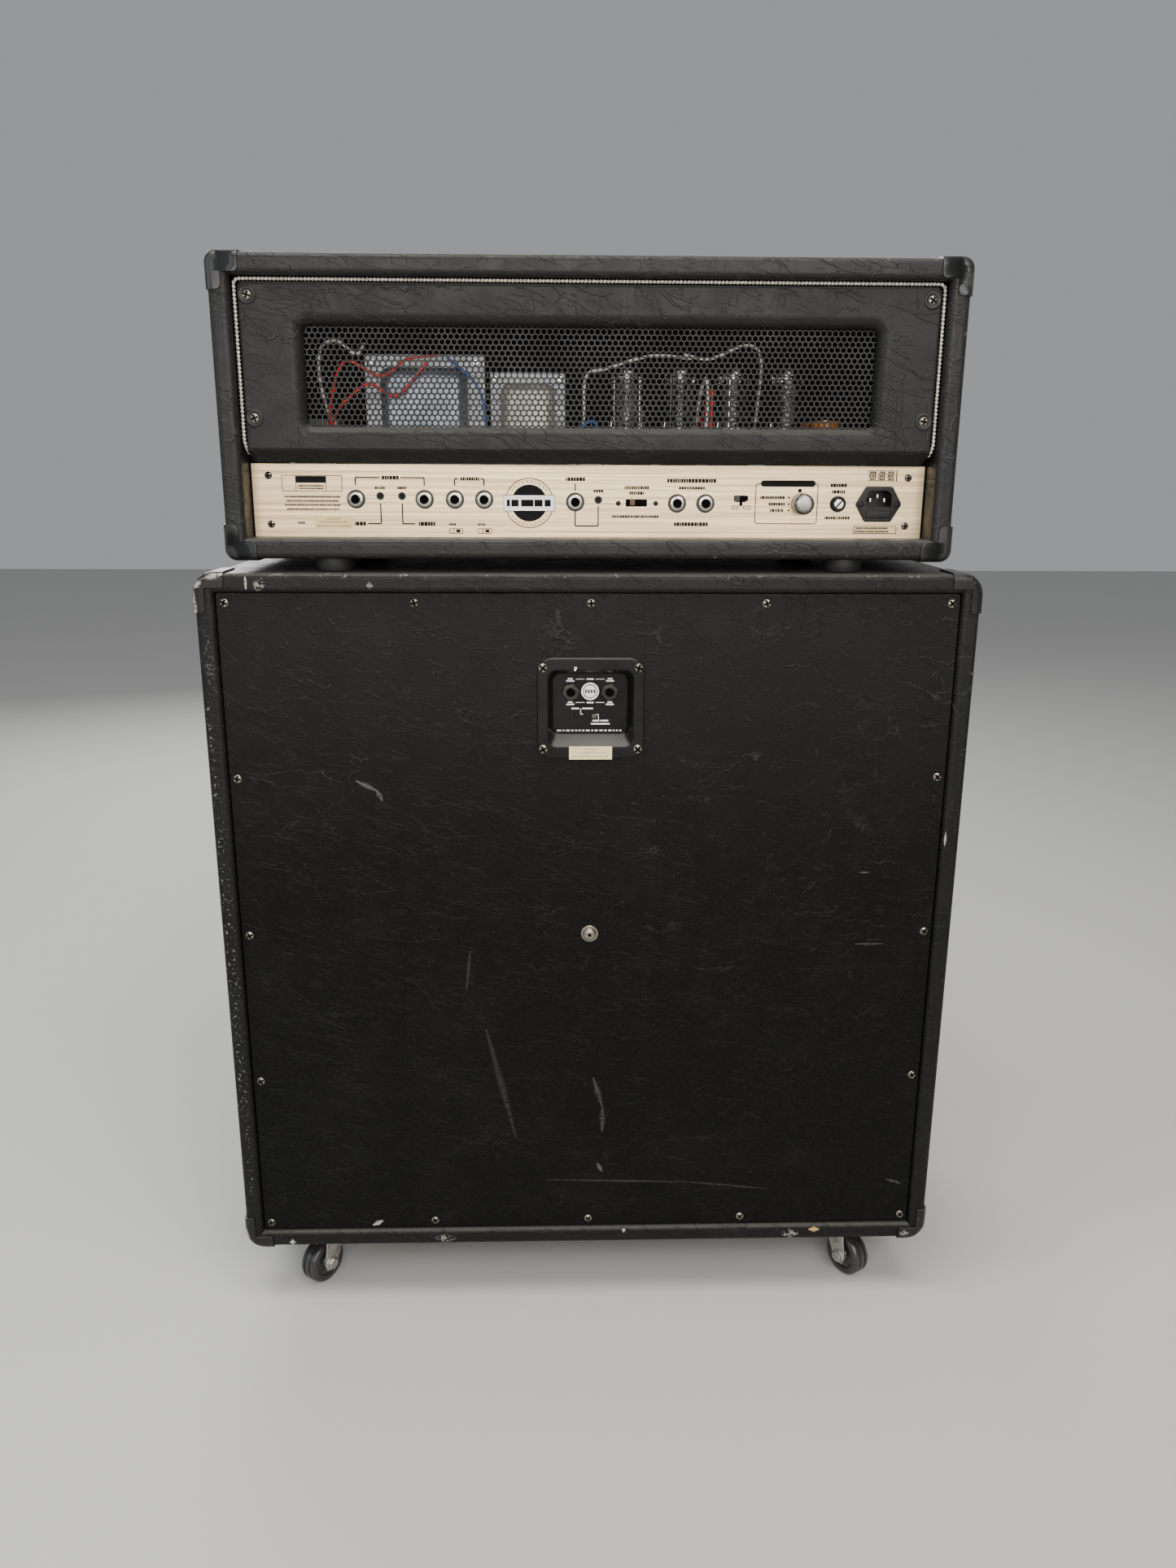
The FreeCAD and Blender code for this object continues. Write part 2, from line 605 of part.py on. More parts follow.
def slider(name, at, wall):
    """Slide switch button on a tongue that runs through its slot, with a wider base behind."""
    half = d.slider_width / 2
    button = block(name + "_button", (-half, -wall, -d.slider_height / 2),
                   (d.slider_width, wall + d.slider_proud, d.slider_height))
    base = block(name + "_base", (-half, -wall - 3, -d.slider_height / 2 - 1),
                 (d.slider_width, 2.5, d.slider_height + 2))
    neck = block(name + "_neck", (-half, -wall - 1, -d.slider_height / 2),
                 (d.slider_width, 1.5, d.slider_height))
    return place(fuse(name, button, base, neck), at)


def build_jack(name, wall):
    """Quarter-inch jack facing +Y: threaded bush, nut and moulded body behind a wall."""
    bush = rod(name + "_bush", (0, -wall, 0), "Y", d.jack_bush, wall + d.jack_bush_proud)
    half = d.jack_body / 2
    case = block(name + "_case", (-half, -wall - d.jack_body_deep, -half),
                 (d.jack_body, d.jack_body_deep, d.jack_body))
    bore = rod(name + "_bore", (0, -wall - d.jack_bore_deep, 0), "Y", d.jack_bore,
               wall + d.jack_bore_deep + d.jack_bush_proud)
    socket = cut(name + "_socket", fuse(name + "_solid", bush, case), bore)
    nut = cut(name + "_nut", hexagon(name + "_hex", (0, 0, 0), "Y", d.jack_nut,
                                     d.jack_nut_thick),
              rod(name + "_thread", (0, 0, 0), "Y", d.jack_bush, d.jack_nut_thick))
    return group(name, socket, nut)


def build_cab_screws():
    """Panel, dish and caster screws, with the centre bolt and its washer."""
    screws = copies("panel_screws", panel_screw, all_cab_screws)
    rim = d.centre_washer_radius
    washer = rod("bolt_washer", (0, panel_back, cab_middle), "Y", rim, d.centre_washer_thick)
    head = cone("bolt_head", (0, panel_back + d.centre_washer_thick, cab_middle), "Y", rim * 0.8,
                rim * 0.45, d.centre_bolt_proud)
    stud = rod("bolt_stud", (0, panel_front, cab_middle), "Y", d.centre_bolt_radius,
               d.panel_thick)
    bolt = fuse("centre_bolt", washer, head, stud)
    button = rod("caster_screw", (0, 0, -d.caster_screw_proud), "Z", d.caster_screw_radius,
                 d.caster_screw_proud)
    reach = d.plate_screw
    spots = [(sx * d.caster_x + px * reach, sy * d.caster_y + py * reach, cab_low - d.plate_thick)
             for sx in (-1, 1) for sy in (-1, 1) for px in (-1, 1) for py in (-1, 1)]
    node("cab_screws", group("cab_screws", screws, bolt, copies("caster_screws", button, spots)))


def build_speakers():
    """Basket and magnet are fixed; cone, dust cap and voice coil move together."""
    frame = body("speaker_frame")
    gasket = d.gasket_thick
    back = d.basket_depth
    magnet_back = back + d.magnet_thick
    floor = back - d.basket_metal
    profile = [(d.surround_in, 0), (d.speaker_rim, 0), (d.speaker_rim, gasket),
               (d.speaker_hole, gasket), (d.basket_neck, back), (d.magnet_radius, back),
               (d.magnet_radius, magnet_back), (0, magnet_back), (0, floor),
               (d.basket_neck - d.basket_wall, floor),
               (d.speaker_hole - d.basket_wall, gasket / 2), (d.surround_in, gasket / 2)]
    revolve(frame, outline(frame, "XY_Plane", profile), "V_Axis")
    node("speaker_frames", copies("speaker_frames", frame, speaker_spots))
    cone_body = body("speaker_cone")
    rim = d.cone_radius
    coil = d.coil_radius
    coil_in = coil - d.coil_wall
    cap_edge = d.cap_front + d.cap_rise
    profile = [(rim, d.cone_front), (rim, d.cone_front + d.cone_paper), (coil, d.cone_depth),
               (coil, d.coil_end), (coil_in, d.coil_end), (coil_in, d.cone_depth - d.cone_paper),
               (d.cap_radius, cap_edge + d.cap_paper), (0, d.cap_front + d.cap_paper),
               (0, d.cap_front), (d.cap_radius + 1, cap_edge),
               (coil - 1, d.cone_depth - d.cone_paper - d.cap_paper)]
    revolve(cone_body, outline(cone_body, "XY_Plane", profile), "V_Axis")
    node("speaker_cones", copies("speaker_cones", cone_body, speaker_spots))


# ---------------------------------------------------------------- casters
def build_caster_plates():
    """Mounting plate, ball race and riveted kingpin."""
    half = d.plate_size / 2
    top = cab_low
    race_low = d.fork_top + d.turn_gap
    pin_low = d.fork_top - d.fork_web - d.turn_gap - d.rivet_thick
    plate = block("plate", (-half, -half, top - d.plate_thick),
                  (d.plate_size, d.plate_size, d.plate_thick))
    race = rod("race", (0, 0, race_low), "Z", d.race_radius, top - d.plate_thick - race_low)
    pin = rod("kingpin", (0, 0, pin_low), "Z", d.pin_radius, race_low - pin_low)
    rivet = rod("rivet", (0, 0, pin_low), "Z", d.rivet_radius, d.rivet_thick)
    mount = fuse("caster_plate", plate, race, pin, rivet)
    spots = [(sx * d.caster_x, sy * d.caster_y, 0) for sx in (-1, 1) for sy in (-1, 1)]
    node("caster_plates", copies("caster_plates", mount, spots))


def build_fork(name, at, turn):
    """Pressed fork that trails along its own +Y, with the axle bolt across it."""
    cheek = body(name + "_cheek")
    web_low = d.fork_top - d.fork_web
    slope = d.cheek_slope
    axle_y = d.caster_trail
    eye_reach = axle_y / 2
    side = [(-d.cheek_front, web_low), (slope - d.cheek_front, d.fork_top),
            (d.cheek_back - slope, d.fork_top), (d.cheek_back, web_low),
            (axle_y + eye_reach, d.wheel_radius), (axle_y + eye_reach - slope, d.cheek_low),
            (axle_y - eye_reach + slope, d.cheek_low), (axle_y - eye_reach, d.wheel_radius)]
    pad(cheek, outline(cheek, "YZ_Plane", side), d.fork_outer)
    disc = rod(name + "_disc", (0, 0, web_low), "Z", d.fork_disc, d.fork_web)
    slot = block(name + "_slot", (-d.fork_inner / 2, -d.plate_size, 0),
                 (d.fork_inner, 2 * d.plate_size, web_low))
    eye = rod(name + "_eye", (0, 0, web_low), "Z", d.pin_radius + d.shaft_gap, d.fork_web)
    bolt_hole = rod(name + "_bolt_hole", (-d.fork_outer, d.caster_trail, d.wheel_radius), "X",
                    d.axle_radius, 2 * d.fork_outer)
    frame = cut(name + "_frame", fuse(name + "_pressing", cheek, disc), slot, eye, bolt_hole)
    axle = rod(name + "_axle", (-d.axle_half, d.caster_trail, d.wheel_radius), "X",
               d.axle_radius, 2 * d.axle_half)
    end = d.axle_half - d.fork_outer / 2
    heads = [hexagon("%s_nut_%d" % (name, index), (start, d.caster_trail, d.wheel_radius), "X",
                     d.axle_nut, end)
             for index, start in enumerate((-d.axle_half, d.fork_outer / 2))]
    bolt = fuse(name + "_bolt", axle, *heads)
    return place(group(name, frame, bolt), at, turn)


def build_wheel(name, at, turn):
    """Hard core with a bored hub and a grooved rubber tread."""
    half = d.wheel_width / 2
    bore = d.axle_radius + d.shaft_gap
    core = body(name + "_core")
    rings = rectangle((-half, bore), (half, d.core_radius))
    revolve(core, outline(core, "XY_Plane", rings), "H_Axis")
    place(core, (0, d.caster_trail, d.wheel_radius))
    tread = body(name + "_tread")
    rim = d.wheel_radius
    side = half - 1
    skirt = d.tread_skirt
    near = d.groove_in
    far = d.groove_out
    bottom = rim - d.groove_deep
    shape = [(-side, d.core_radius), (side, d.core_radius), (side, rim - skirt),
             (side - skirt, rim), (far, rim), (far, bottom), (near, bottom), (near, rim),
             (-near, rim), (-near, bottom), (-far, bottom), (-far, rim), (skirt - side, rim),
             (-side, rim - skirt)]
    revolve(tread, outline(tread, "XY_Plane", shape), "H_Axis")
    place(tread, (0, d.caster_trail, d.wheel_radius))
    return place(group(name, core, tread), at, turn)


def build_casters():
    build_caster_plates()
    for number, (side_x, side_y) in CASTER_SIDES.items():
        at = (side_x * d.caster_x, side_y * d.caster_y, 0)
        turn = Rotation(Vector(0, 0, 1), CASTER_HEADINGS[number])
        node("caster_fork_%d" % number, build_fork("caster_fork_%d" % number, at, turn))
        node("caster_wheel_%d" % number, build_wheel("caster_wheel_%d" % number, at, turn))


# ---------------------------------------------------------------- amplifier head
def build_head_shell():
    shell = rounded_box("head_box", d.head_width, d.head_depth, d.head_height, d.head_corner,
                        d.head_rim, (0, d.head_shift, head_low), d.head_board)
    node("head_shell", shell)
    node("head_corners", guards(
        "head_guard", (d.head_width, d.head_depth, d.head_height), d.head_corner, d.head_rim,
        (0, d.head_shift, head_low), (d.head_guard_wide, d.head_guard_thin, d.head_guard_tall,
                                      d.head_guard_slim, d.head_guard_deep)))


def build_head_back():
    """Rear panel with a bevelled lower edge, a vent window and a perforated mesh behind it."""
    back = d.rear_panel_back
    thick = d.rear_panel_thick
    low = d.rear_panel_low
    panel = body("head_rear_board")
    side = [(back - thick, low), (back, low + d.rear_bevel), (back, d.rear_panel_high),
            (back - thick, d.rear_panel_high)]
    pad(panel, outline(panel, "YZ_Plane", side), 2 * d.rear_panel_x)
    window = block("vent_window", (-d.vent_x, back - thick, d.vent_low),
                   (2 * d.vent_x, thick, d.vent_high - d.vent_low))
    spots = [(side_x * d.rear_screw_x, back, level) for side_x in (-1, 1)
             for level in (d.rear_screw_low, d.rear_screw_high)]
    bores = copies("head_rear_bores", screw_bore, spots)
    node("head_back_panel", cut("head_back_panel", panel, window, bores))
    margin = d.mesh_margin
    mesh = block("vent_mesh", (-d.vent_x - margin, back - thick - d.mesh_thick,
                               d.vent_low - margin),
                 (2 * (d.vent_x + margin), d.mesh_thick, d.vent_high - d.vent_low + 2 * margin))
    node("head_vent_mesh", mesh)
    edge = d.piping_radius + d.piping_gap
    rear_loop = piping("rear_loop", d.rear_panel_x + edge, low + d.rear_bevel,
                       d.rear_panel_high + edge, back - d.piping_radius)
    trim = block("loop_trim", (-d.head_width / 2, 0, head_low),
                 (d.head_width, d.head_depth, low + d.rear_bevel + 6 - head_low))
    rear_cord = cut("rear_cord", rear_loop, trim)
    front_y = -d.chassis_front - d.cloth_thick
    inside_x = d.head_width / 2 - d.head_board
    front_loop = piping("front_loop", inside_x - edge, d.front_plate_high + 2 * edge,
                        head_high - d.head_board - edge, front_y)
    node("head_piping", group("head_piping", rear_cord, front_loop))
    return spots


def build_head_front():
    """Front board with its cloth, above the control panel."""
    half = d.front_plate_x
    low = d.front_plate_high + 1
    high = head_high - d.head_board
    board = block("front_board", (-half, -d.chassis_front, low),
                  (2 * half, d.front_board_thick, high - low))
    node("head_front_board", board)
    inset = 2 * (d.piping_radius + 2 * d.piping_gap)
    bottom = d.front_plate_high + 2 * (d.piping_radius + d.piping_gap) + inset / 2
    cloth = block("front_cloth", (-half + inset, -d.chassis_front - d.cloth_thick, bottom),
                  (2 * (half - inset), d.cloth_thick, high - inset - bottom))
    node("head_front_cloth", cloth)


def build_feet_and_strap():
    spots = [(sx * d.foot_x, d.head_shift + sy * d.foot_y, cab_high)
             for sx in (-1, 1) for sy in (-1, 1)]
    foot = cone("foot", (0, 0, 0), "Z", d.foot_radius - 2, d.foot_radius, d.foot_height)
    node("head_feet", copies("head_feet", foot, spots))
    half = d.strap_length / 2
    base = head_high
    rise = d.strap_rise
    thick = d.strap_thick
    end = d.strap_end_length
    strap = body("strap")
    bow = [(-half, 0), (-half + end, 0), (-half + 1.6 * end, rise - thick),
           (half - 1.6 * end, rise - thick), (half - end, 0), (half, 0), (half, thick),
           (half - end, thick), (half - 1.6 * end, rise), (-half + 1.6 * end, rise),
           (-half + end, thick), (-half, thick)]
    pad(strap, outline(strap, "XZ_Plane", bow), d.strap_width)
    node("head_handle_strap", place(strap, (0, d.head_shift, base)))
    side = d.strap_width / 2 + d.strap_end_side
    cover = block("strap_cover", (-end / 2, -side, 0), (end - 2, 2 * side,
                                                        thick + d.strap_end_rise))
    tunnel = block("strap_tunnel", (-end, -d.strap_width / 2, 0), (2 * end, d.strap_width, thick))
    cap = cut("strap_cap", cover, tunnel)
    caps = copies("strap_caps", cap, [(side * (half - end / 2), d.head_shift, base)
                                      for side in (-1, 1)])
    node("head_handle_ends", caps)


def control_bores():
    """Everything that passes through the chassis and its two control plates."""
    tools = []
    ease = d.hole_ease
    rear_low = d.chassis_back - d.chassis_wall
    front_low = -d.chassis_front - d.plate_metal
    for name in REAR_JACKS:
        tools.append(rod(name + "_hole", control_spot(name, rear_low), "Y", d.jack_bush,
                         wall_thick))
    for name in TRIMS:
        tools.append(rod(name + "_hole", control_spot(name, rear_low), "Y",
                         d.trim_radius + ease, wall_thick))
    tools.append(rod("mode_hole", control_spot("mode", rear_low), "Y", d.shaft_radius + ease,
                     wall_thick))
    tools.append(rod("fuse_hole", control_spot("fuse", rear_low), "Y", d.fuse_radius - 1,
                     wall_thick))
    for name in ("impedance_slide", "ground_slide"):
        wide = d.slider_width + d.slider_travel + 1
        low = getattr(d, name + "_z") - d.slider_height / 2 - 0.5
        tools.append(block(name + "_hole", (getattr(d, name + "_x") - wide / 2, rear_low, low),
                           (wide, wall_thick, d.slider_height + 1)))
    tools.append(block("inlet_hole", (d.inlet_x - d.inlet_flat / 2 - 1, rear_low,
                                      d.inlet_z - d.inlet_height / 2 + 3),
                       (d.inlet_flat + 2, wall_thick, d.inlet_height - 6)))
    tools.append(rod("input_hole", (d.input_x, front_low, d.front_z), "Y", d.jack_bush,
                     wall_thick))
    for index, name in enumerate(KNOBS):
        tools.append(rod(name + "_hole", (knob_x(index), front_low, d.front_z), "Y",
                         d.shaft_radius + ease, wall_thick))
    tools.append(rod("lamp_hole", (d.lamp_x, front_low, d.front_z), "Y", d.lamp_radius - 1,
                     wall_thick))
    for name in ("power", "standby"):
        centre = getattr(d, "rocker_%s_x" % name)
        tools.append(block(name + "_hole", (centre - d.rocker_width / 2 - 0.5, front_low,
                                            d.front_z - d.rocker_radius - 0.5),
                           (d.rocker_width + 1, wall_thick, 2 * d.rocker_radius + 1)))
    return group("control_bores", *tools)


def knob_x(index):
    return d.knob_first_x - index * d.knob_pitch


def build_chassis():
    """Inverted steel tray, the aluminium rear plate and the front control panel."""
    wall = d.chassis_wall
    depth = d.chassis_front + d.chassis_back
    tray = block("tray", (-d.chassis_x, -d.chassis_front, chassis_low),
                 (2 * d.chassis_x, depth, d.chassis_height))
    hollow = block("tray_hollow", (-d.chassis_x + wall, -d.chassis_front + wall, chassis_low),
                   (2 * d.chassis_x - 2 * wall, depth - 2 * wall, d.chassis_height - wall))
    bores = control_bores()
    node("head_chassis", cut("head_chassis", tray, hollow, bores))
    rear = block("rear_sheet", (-d.rear_plate_x, d.chassis_back, chassis_low),
                 (2 * d.rear_plate_x, d.plate_metal, d.rear_plate_high - chassis_low - 3))
    node("rear_plate", cut("rear_plate", rear, bores))
    front = block("front_sheet", (-d.front_plate_x, -d.chassis_front - d.plate_metal,
                                  chassis_low),
                  (2 * d.front_plate_x, d.plate_metal, d.front_plate_high - chassis_low))
    node("front_panel", cut("front_panel", front, bores))


def build_head_screws(panel_spots):
    """Rear-panel screws in cup washers, and the button screws of the rear plate."""
    plate_spots = [(side * d.plate_screw_x, d.plate_back, level) for side in (-1, 1)
                   for level in (d.plate_screw_low, d.plate_screw_high)]
    radius = d.plate_screw_radius
    button = cone("plate_screw", (0, 0, 0), "Y", radius, radius - 1, d.plate_screw_proud)
    node("head_screws", group("head_screws", copies("cup_screws", cup_screw, panel_spots),
                              copies("plate_screws", button, plate_spots)))


def build_head_jacks():
    jack = build_jack("head_jack", wall_thick)
    rear = copies("rear_jacks", jack, [control_spot(name, d.plate_back) for name in REAR_JACKS])
    front = copies("input_jack", jack, [(d.input_x, -d.chassis_front - d.plate_metal, d.front_z)],
                   FACING_FRONT)
    node("head_jacks", group("head_jacks", rear, front))


def build_inlet():
    """Six-sided mains inlet with its cavity, three pins and a fuse drawer below."""
    wide = d.inlet_width / 2
    flat = d.inlet_flat / 2
    tall = d.inlet_height / 2
    flange = body("inlet_flange")
    points = [(-wide, 0), (-flat, -tall), (flat, -tall), (wide, 0), (flat, tall), (-flat, tall)]
    pad(flange, outline(flange, "XZ_Plane", points), d.inlet_lip)
    place(flange, (0, d.inlet_lip / 2, 0))
    case = block("inlet_case", (-flat - 1, -d.inlet_deep, -tall + 3),
                 (2 * flat + 2, d.inlet_deep, 2 * tall - 6))
    cavity = body("inlet_cavity")
    half = d.cavity_width / 2
    low = d.cavity_rise - d.cavity_height / 2
    high = d.cavity_rise + d.cavity_height / 2
    shape = [(-half, low), (half, low), (half, high - 4), (half - 4, high), (-half + 4, high),
             (-half, high - 4)]
    pad(cavity, outline(cavity, "XZ_Plane", shape), 2 * d.cavity_deep)
    opening_low = -d.drawer_drop - d.drawer_height / 2
    drawer_well = block("drawer_well", (-d.drawer_width / 2 - 0.2, -d.drawer_deep - 0.5,
                                        opening_low - 0.2),
                        (d.drawer_width + 0.4, d.drawer_deep + d.inlet_lip + 1,
                         d.drawer_height + 0.4))
    shell = cut("inlet_shell", fuse("inlet_solid", flange, case), cavity, drawer_well)
    pins = [block("inlet_pin_%d" % index, (side * d.pin_pitch - d.pin_wide / 2, -d.cavity_deep,
                                           d.cavity_rise + rise - d.pin_high / 2),
                  (d.pin_wide, d.cavity_deep - 3, d.pin_high))
            for index, (side, rise) in enumerate(((-1, -1.5), (0, 2.5), (1, -1.5)))]
    inlet = group("mains_inlet", shell, *pins)
    node("mains_inlet", place(inlet, control_spot("inlet", d.plate_back)))
    drawer = block("drawer_tray", (-d.drawer_width / 2, -d.drawer_deep, opening_low),
                   (d.drawer_width, d.drawer_deep + d.inlet_lip + 0.8, d.drawer_height))
    scoop = block("drawer_scoop", (-8, -d.drawer_deep + 3, opening_low + 2),
                  (16, d.drawer_deep - 6, d.drawer_height))
    tray = cut("fuse_drawer", drawer, scoop)
    node("fuse_drawer", place(tray, control_spot("inlet", d.plate_back)))


def build_rear_controls():
    build_inlet()
    back = d.plate_back
    deep = d.fuse_deep
    bezel = rod("fuse_bezel", (0, 0, 0), "Y", d.fuse_radius, d.fuse_bezel)
    barrel = rod("fuse_barrel", (0, -deep, 0), "Y", d.fuse_radius - 1, deep)
    well = rod("fuse_well", (0, 2 - deep, 0), "Y", d.fuse_cap_radius + d.turn_gap,
               deep - 2 + d.fuse_bezel)
    holder = cut("fuse_holder", fuse("fuse_solid", bezel, barrel), well)
    node("fuse_holder", place(holder, control_spot("fuse", back)))
    plug = rod("fuse_plug", (0, -d.fuse_plug_deep, 0), "Y", d.fuse_cap_radius,
               d.fuse_plug_deep + d.fuse_cap_proud)
    slot = block("fuse_slot", (-d.fuse_cap_radius, d.fuse_cap_proud - 1.2, -0.7),
                 (2 * d.fuse_cap_radius, 1.2, 1.4))
    node("fuse_cap", place(cut("fuse_cap", plug, slot), control_spot("fuse", back)))
    for name in TRIMS:
        proud = d.trim_proud
        shaft = rod(name + "_shaft", (0, -d.trim_deep, 0), "Y", d.trim_radius,
                    d.trim_deep + proud)
        notch = block(name + "_notch", (-d.trim_radius, -proud, -0.5),
                      (2 * d.trim_radius, 2 * proud, 1))
        node(name, place(cut(name, shaft, notch), control_spot(name, back)))
    for name in ("impedance_slide", "ground_slide"):
        start = control_spot(name, back, d.slider_travel / 2)
        node(name, slider(name, start, wall_thick))
    grip = cone("mode_grip", (0, d.mode_gap, 0), "Y", d.mode_radius, d.mode_radius - 1,
                d.mode_length - 4)
    dome = cone("mode_dome", (0, d.mode_gap + d.mode_length - 4, 0), "Y", d.mode_radius - 1,
                d.mode_radius - 4.5, 4)
    shaft = rod("mode_shaft", (0, -d.shaft_deep, 0), "Y", d.shaft_radius,
                d.shaft_deep + d.mode_gap)
    knob = fuse("mode_knob", grip, dome, shaft)
    node("mode_knob", place(knob, control_spot("mode", back)))


def build_front_controls():
    """Knobs turn on pot shafts, rockers tip on their own cross pins."""
    front = -d.chassis_front - d.plate_metal
    for index, name in enumerate(KNOBS):
        skirt = cone(name + "_skirt", (0, d.knob_gap, 0), "Y", d.knob_radius, d.knob_radius - 2,
                     d.knob_skirt)
        grip = cone(name + "_grip", (0, d.knob_gap + d.knob_skirt, 0), "Y", d.knob_grip,
                    d.knob_grip - 0.5, d.knob_length - d.knob_skirt)
        shaft = rod(name + "_shaft", (0, -d.shaft_deep, 0), "Y", d.shaft_radius,
                    d.shaft_deep + d.knob_gap)
        turned = fuse(name + "_knob", skirt, grip, shaft)
        node(name + "_knob", place(turned, (knob_x(index), front, d.front_z), FACING_FRONT))
    lens = rod("lamp_lens", (0, 0, 0), "Y", d.lamp_radius, d.lamp_proud)
    lamp = fuse("pilot_lamp", lens, rod("lamp_stem", (0, -d.lamp_deep, 0), "Y",
                                        d.lamp_radius - 1, d.lamp_deep))
    node("pilot_lamp", place(lamp, (d.lamp_x, front, d.front_z), FACING_FRONT))
    for name in ("power", "standby"):
        centre = getattr(d, "rocker_%s_x" % name)
        half = d.rocker_width / 2
        drum = rod(name + "_drum", (-half, 0, 0), "X", d.rocker_radius, d.rocker_width)
        face = doc.addObject("Part::Wedge", name + "_face")
        reach = d.rocker_radius
        bind(face, Xmin=-half, Xmax=half, X2min=-half, X2max=half, Ymin=-reach * 0.8,
             Ymax=reach * 0.8, Zmin=-reach * 0.95, Zmax=reach * 0.95, Z2min=-reach * 0.7,
             Z2max=reach * 0.7)
        rocker = common(name + "_rocker", drum, face)
        node(name + "_rocker", place(rocker, (centre, front + d.rocker_sink, d.front_z)))


# ---------------------------------------------------------------- inside the head
def transformer(name, x, width, depth, height):
    """Laminated core between two end bells, standing on the deck."""
    core_depth = depth * d.lamination_share
    core = block(name + "_core", (x - width / 2, d.transformer_y - core_depth / 2, d.deck_z),
                 (width, core_depth, height))
    bell_wide = width * d.bell_wide_share
    bell_high = height * d.bell_high_share
    bell = block(name + "_bell", (x - bell_wide / 2, d.transformer_y - depth / 2,
                                  d.deck_z + (height - bell_high) / 2),
                 (bell_wide, depth, bell_high))
    return fuse(name, core, bell)


def build_valves():
    """Power tubes by the vent, preamp tubes ahead of them, each in a socket on the deck."""
    power_x = [d.power_tube_x - index * d.power_tube_pitch for index in range(4)]
    pre_x = [d.pre_tube_x - index * d.pre_tube_pitch for index in range(3)]
    top = d.deck_z + d.socket_height
    base = d.power_base
    tip = d.tube_tip
    glass_radius = d.power_tube_radius - 2
    shoulder = d.power_tube_height - tip
    bulb = fuse("power_tube", rod("power_base", (0, 0, 0), "Z", d.power_tube_radius, base),
                rod("power_glass", (0, 0, base), "Z", glass_radius, shoulder - base),
                cone("power_tip", (0, 0, shoulder), "Z", glass_radius, glass_radius / 3, tip))
    shoulder = d.pre_tube_height - d.pre_tip
    small = fuse("pre_tube", rod("pre_glass", (0, 0, 0), "Z", d.pre_tube_radius, shoulder),
                 cone("pre_tip", (0, 0, shoulder), "Z", d.pre_tube_radius, 3, d.pre_tip))
    tubes = [copies("power_tubes", bulb, [(x, d.power_tube_y, top) for x in power_x]),
             copies("pre_tubes", small, [(x, d.pre_tube_y, top) for x in pre_x])]
    node("tubes", group("tubes", *tubes))
    wide = rod("power_socket", (0, 0, 0), "Z", d.power_tube_radius + 2, d.socket_height)
    narrow = rod("pre_socket", (0, 0, 0), "Z", d.pre_tube_radius + 1, d.socket_height)
    node("tube_sockets", group("tube_sockets",
                               copies("power_sockets", wide,
                                      [(x, d.power_tube_y, d.deck_z) for x in power_x]),
                               copies("pre_sockets", narrow,
                                      [(x, d.pre_tube_y, d.deck_z) for x in pre_x])))


def build_electronics():
    """Transformers on the deck; board, capacitors and pots under it."""
    pieces = [transformer("mains_transformer", d.mains_x, d.mains_width, d.mains_depth,
                          d.mains_height),
              transformer("output_transformer", d.output_x, d.output_width, d.output_depth,
                          d.output_height),
              transformer("choke", d.choke_x, d.choke_width, d.choke_depth, d.choke_height)]
    node("transformers", group("transformers", *pieces))
    half = d.chassis_x - d.board_margin
    board = block("board", (-half, -d.board_front, chassis_low + d.board_rise),
                  (2 * half, d.board_depth, d.board_thick))
    can = rod("capacitor", (0, 0, 0), "Z", d.capacitor_radius, d.capacitor_height)
    cans = copies("capacitors", can, [
        (d.capacitor_x, d.capacitor_y - index * d.capacitor_pitch, d.deck_z)
        for index in range(2)])
    pot = cut("pot", rod("pot_case", (0, -d.pot_deep, 0), "Y", d.pot_radius,
                         d.pot_deep - wall_thick),
              rod("pot_bore", (0, -d.pot_bore_deep, 0), "Y", d.shaft_radius + d.shaft_gap,
                  d.pot_bore_deep))
    front = -d.chassis_front - d.plate_metal
    front_pots = copies("front_pots", pot, [(knob_x(index), front, d.front_z)
                                            for index in range(len(KNOBS))], FACING_FRONT)
    mode_switch = copies("mode_switch", pot, [control_spot("mode", d.plate_back)])
    trimmer = cut("trimmer", rod("trimmer_case", (0, -d.trimmer_deep, 0), "Y", d.trim_body,
                                 d.trimmer_deep - wall_thick),
                  rod("trimmer_bore", (0, -d.trimmer_bore_deep, 0), "Y",
                      d.trim_radius + d.shaft_gap, d.trimmer_bore_deep))
    trimmers = copies("trimmers", trimmer, [control_spot(name, d.plate_back) for name in TRIMS])
    node("circuit_board", group("circuit_board", board, cans, front_pots, mode_switch, trimmers))


def check_and_write():
    """Stop on any failed feature, then write each sub-part to its own file."""
    doc.recompute()
    failed = [item.Name for item in doc.Objects
              if "Invalid" in item.State or "Error" in item.State]
    if failed:
        raise RuntimeError("features failed: %s" % failed)
    for item in nodes:
        if item.Shape.isNull() or not item.Shape.isValid() or not item.Shape.Solids:
            raise RuntimeError("bad shape: " + item.Label)
    os.makedirs("parts", exist_ok=True)
    for item in nodes:
        item.Shape.exportStep("parts/%s.step" % item.Label)
    print("%d sub-parts written" % len(nodes))


build_cab_shell()
build_rear_panel()
build_baffle()
grille_size = build_grille()
build_bracing(*grille_size)
build_cab_guards()
build_side_handles()
build_jack_dish()
build_cab_screws()
build_speakers()
build_casters()
build_head_shell()
rear_panel_screws = build_head_back()
build_head_front()
build_feet_and_strap()
build_chassis()
build_head_screws(rear_panel_screws)
build_head_jacks()
build_rear_controls()
build_front_controls()
build_valves()
build_electronics()
check_and_write()
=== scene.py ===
import functools
import itertools
import json
import math
import random

import bmesh
import bpy
import numpy as np
from mathutils import Matrix, Vector
from mathutils.geometry import tessellate_polygon


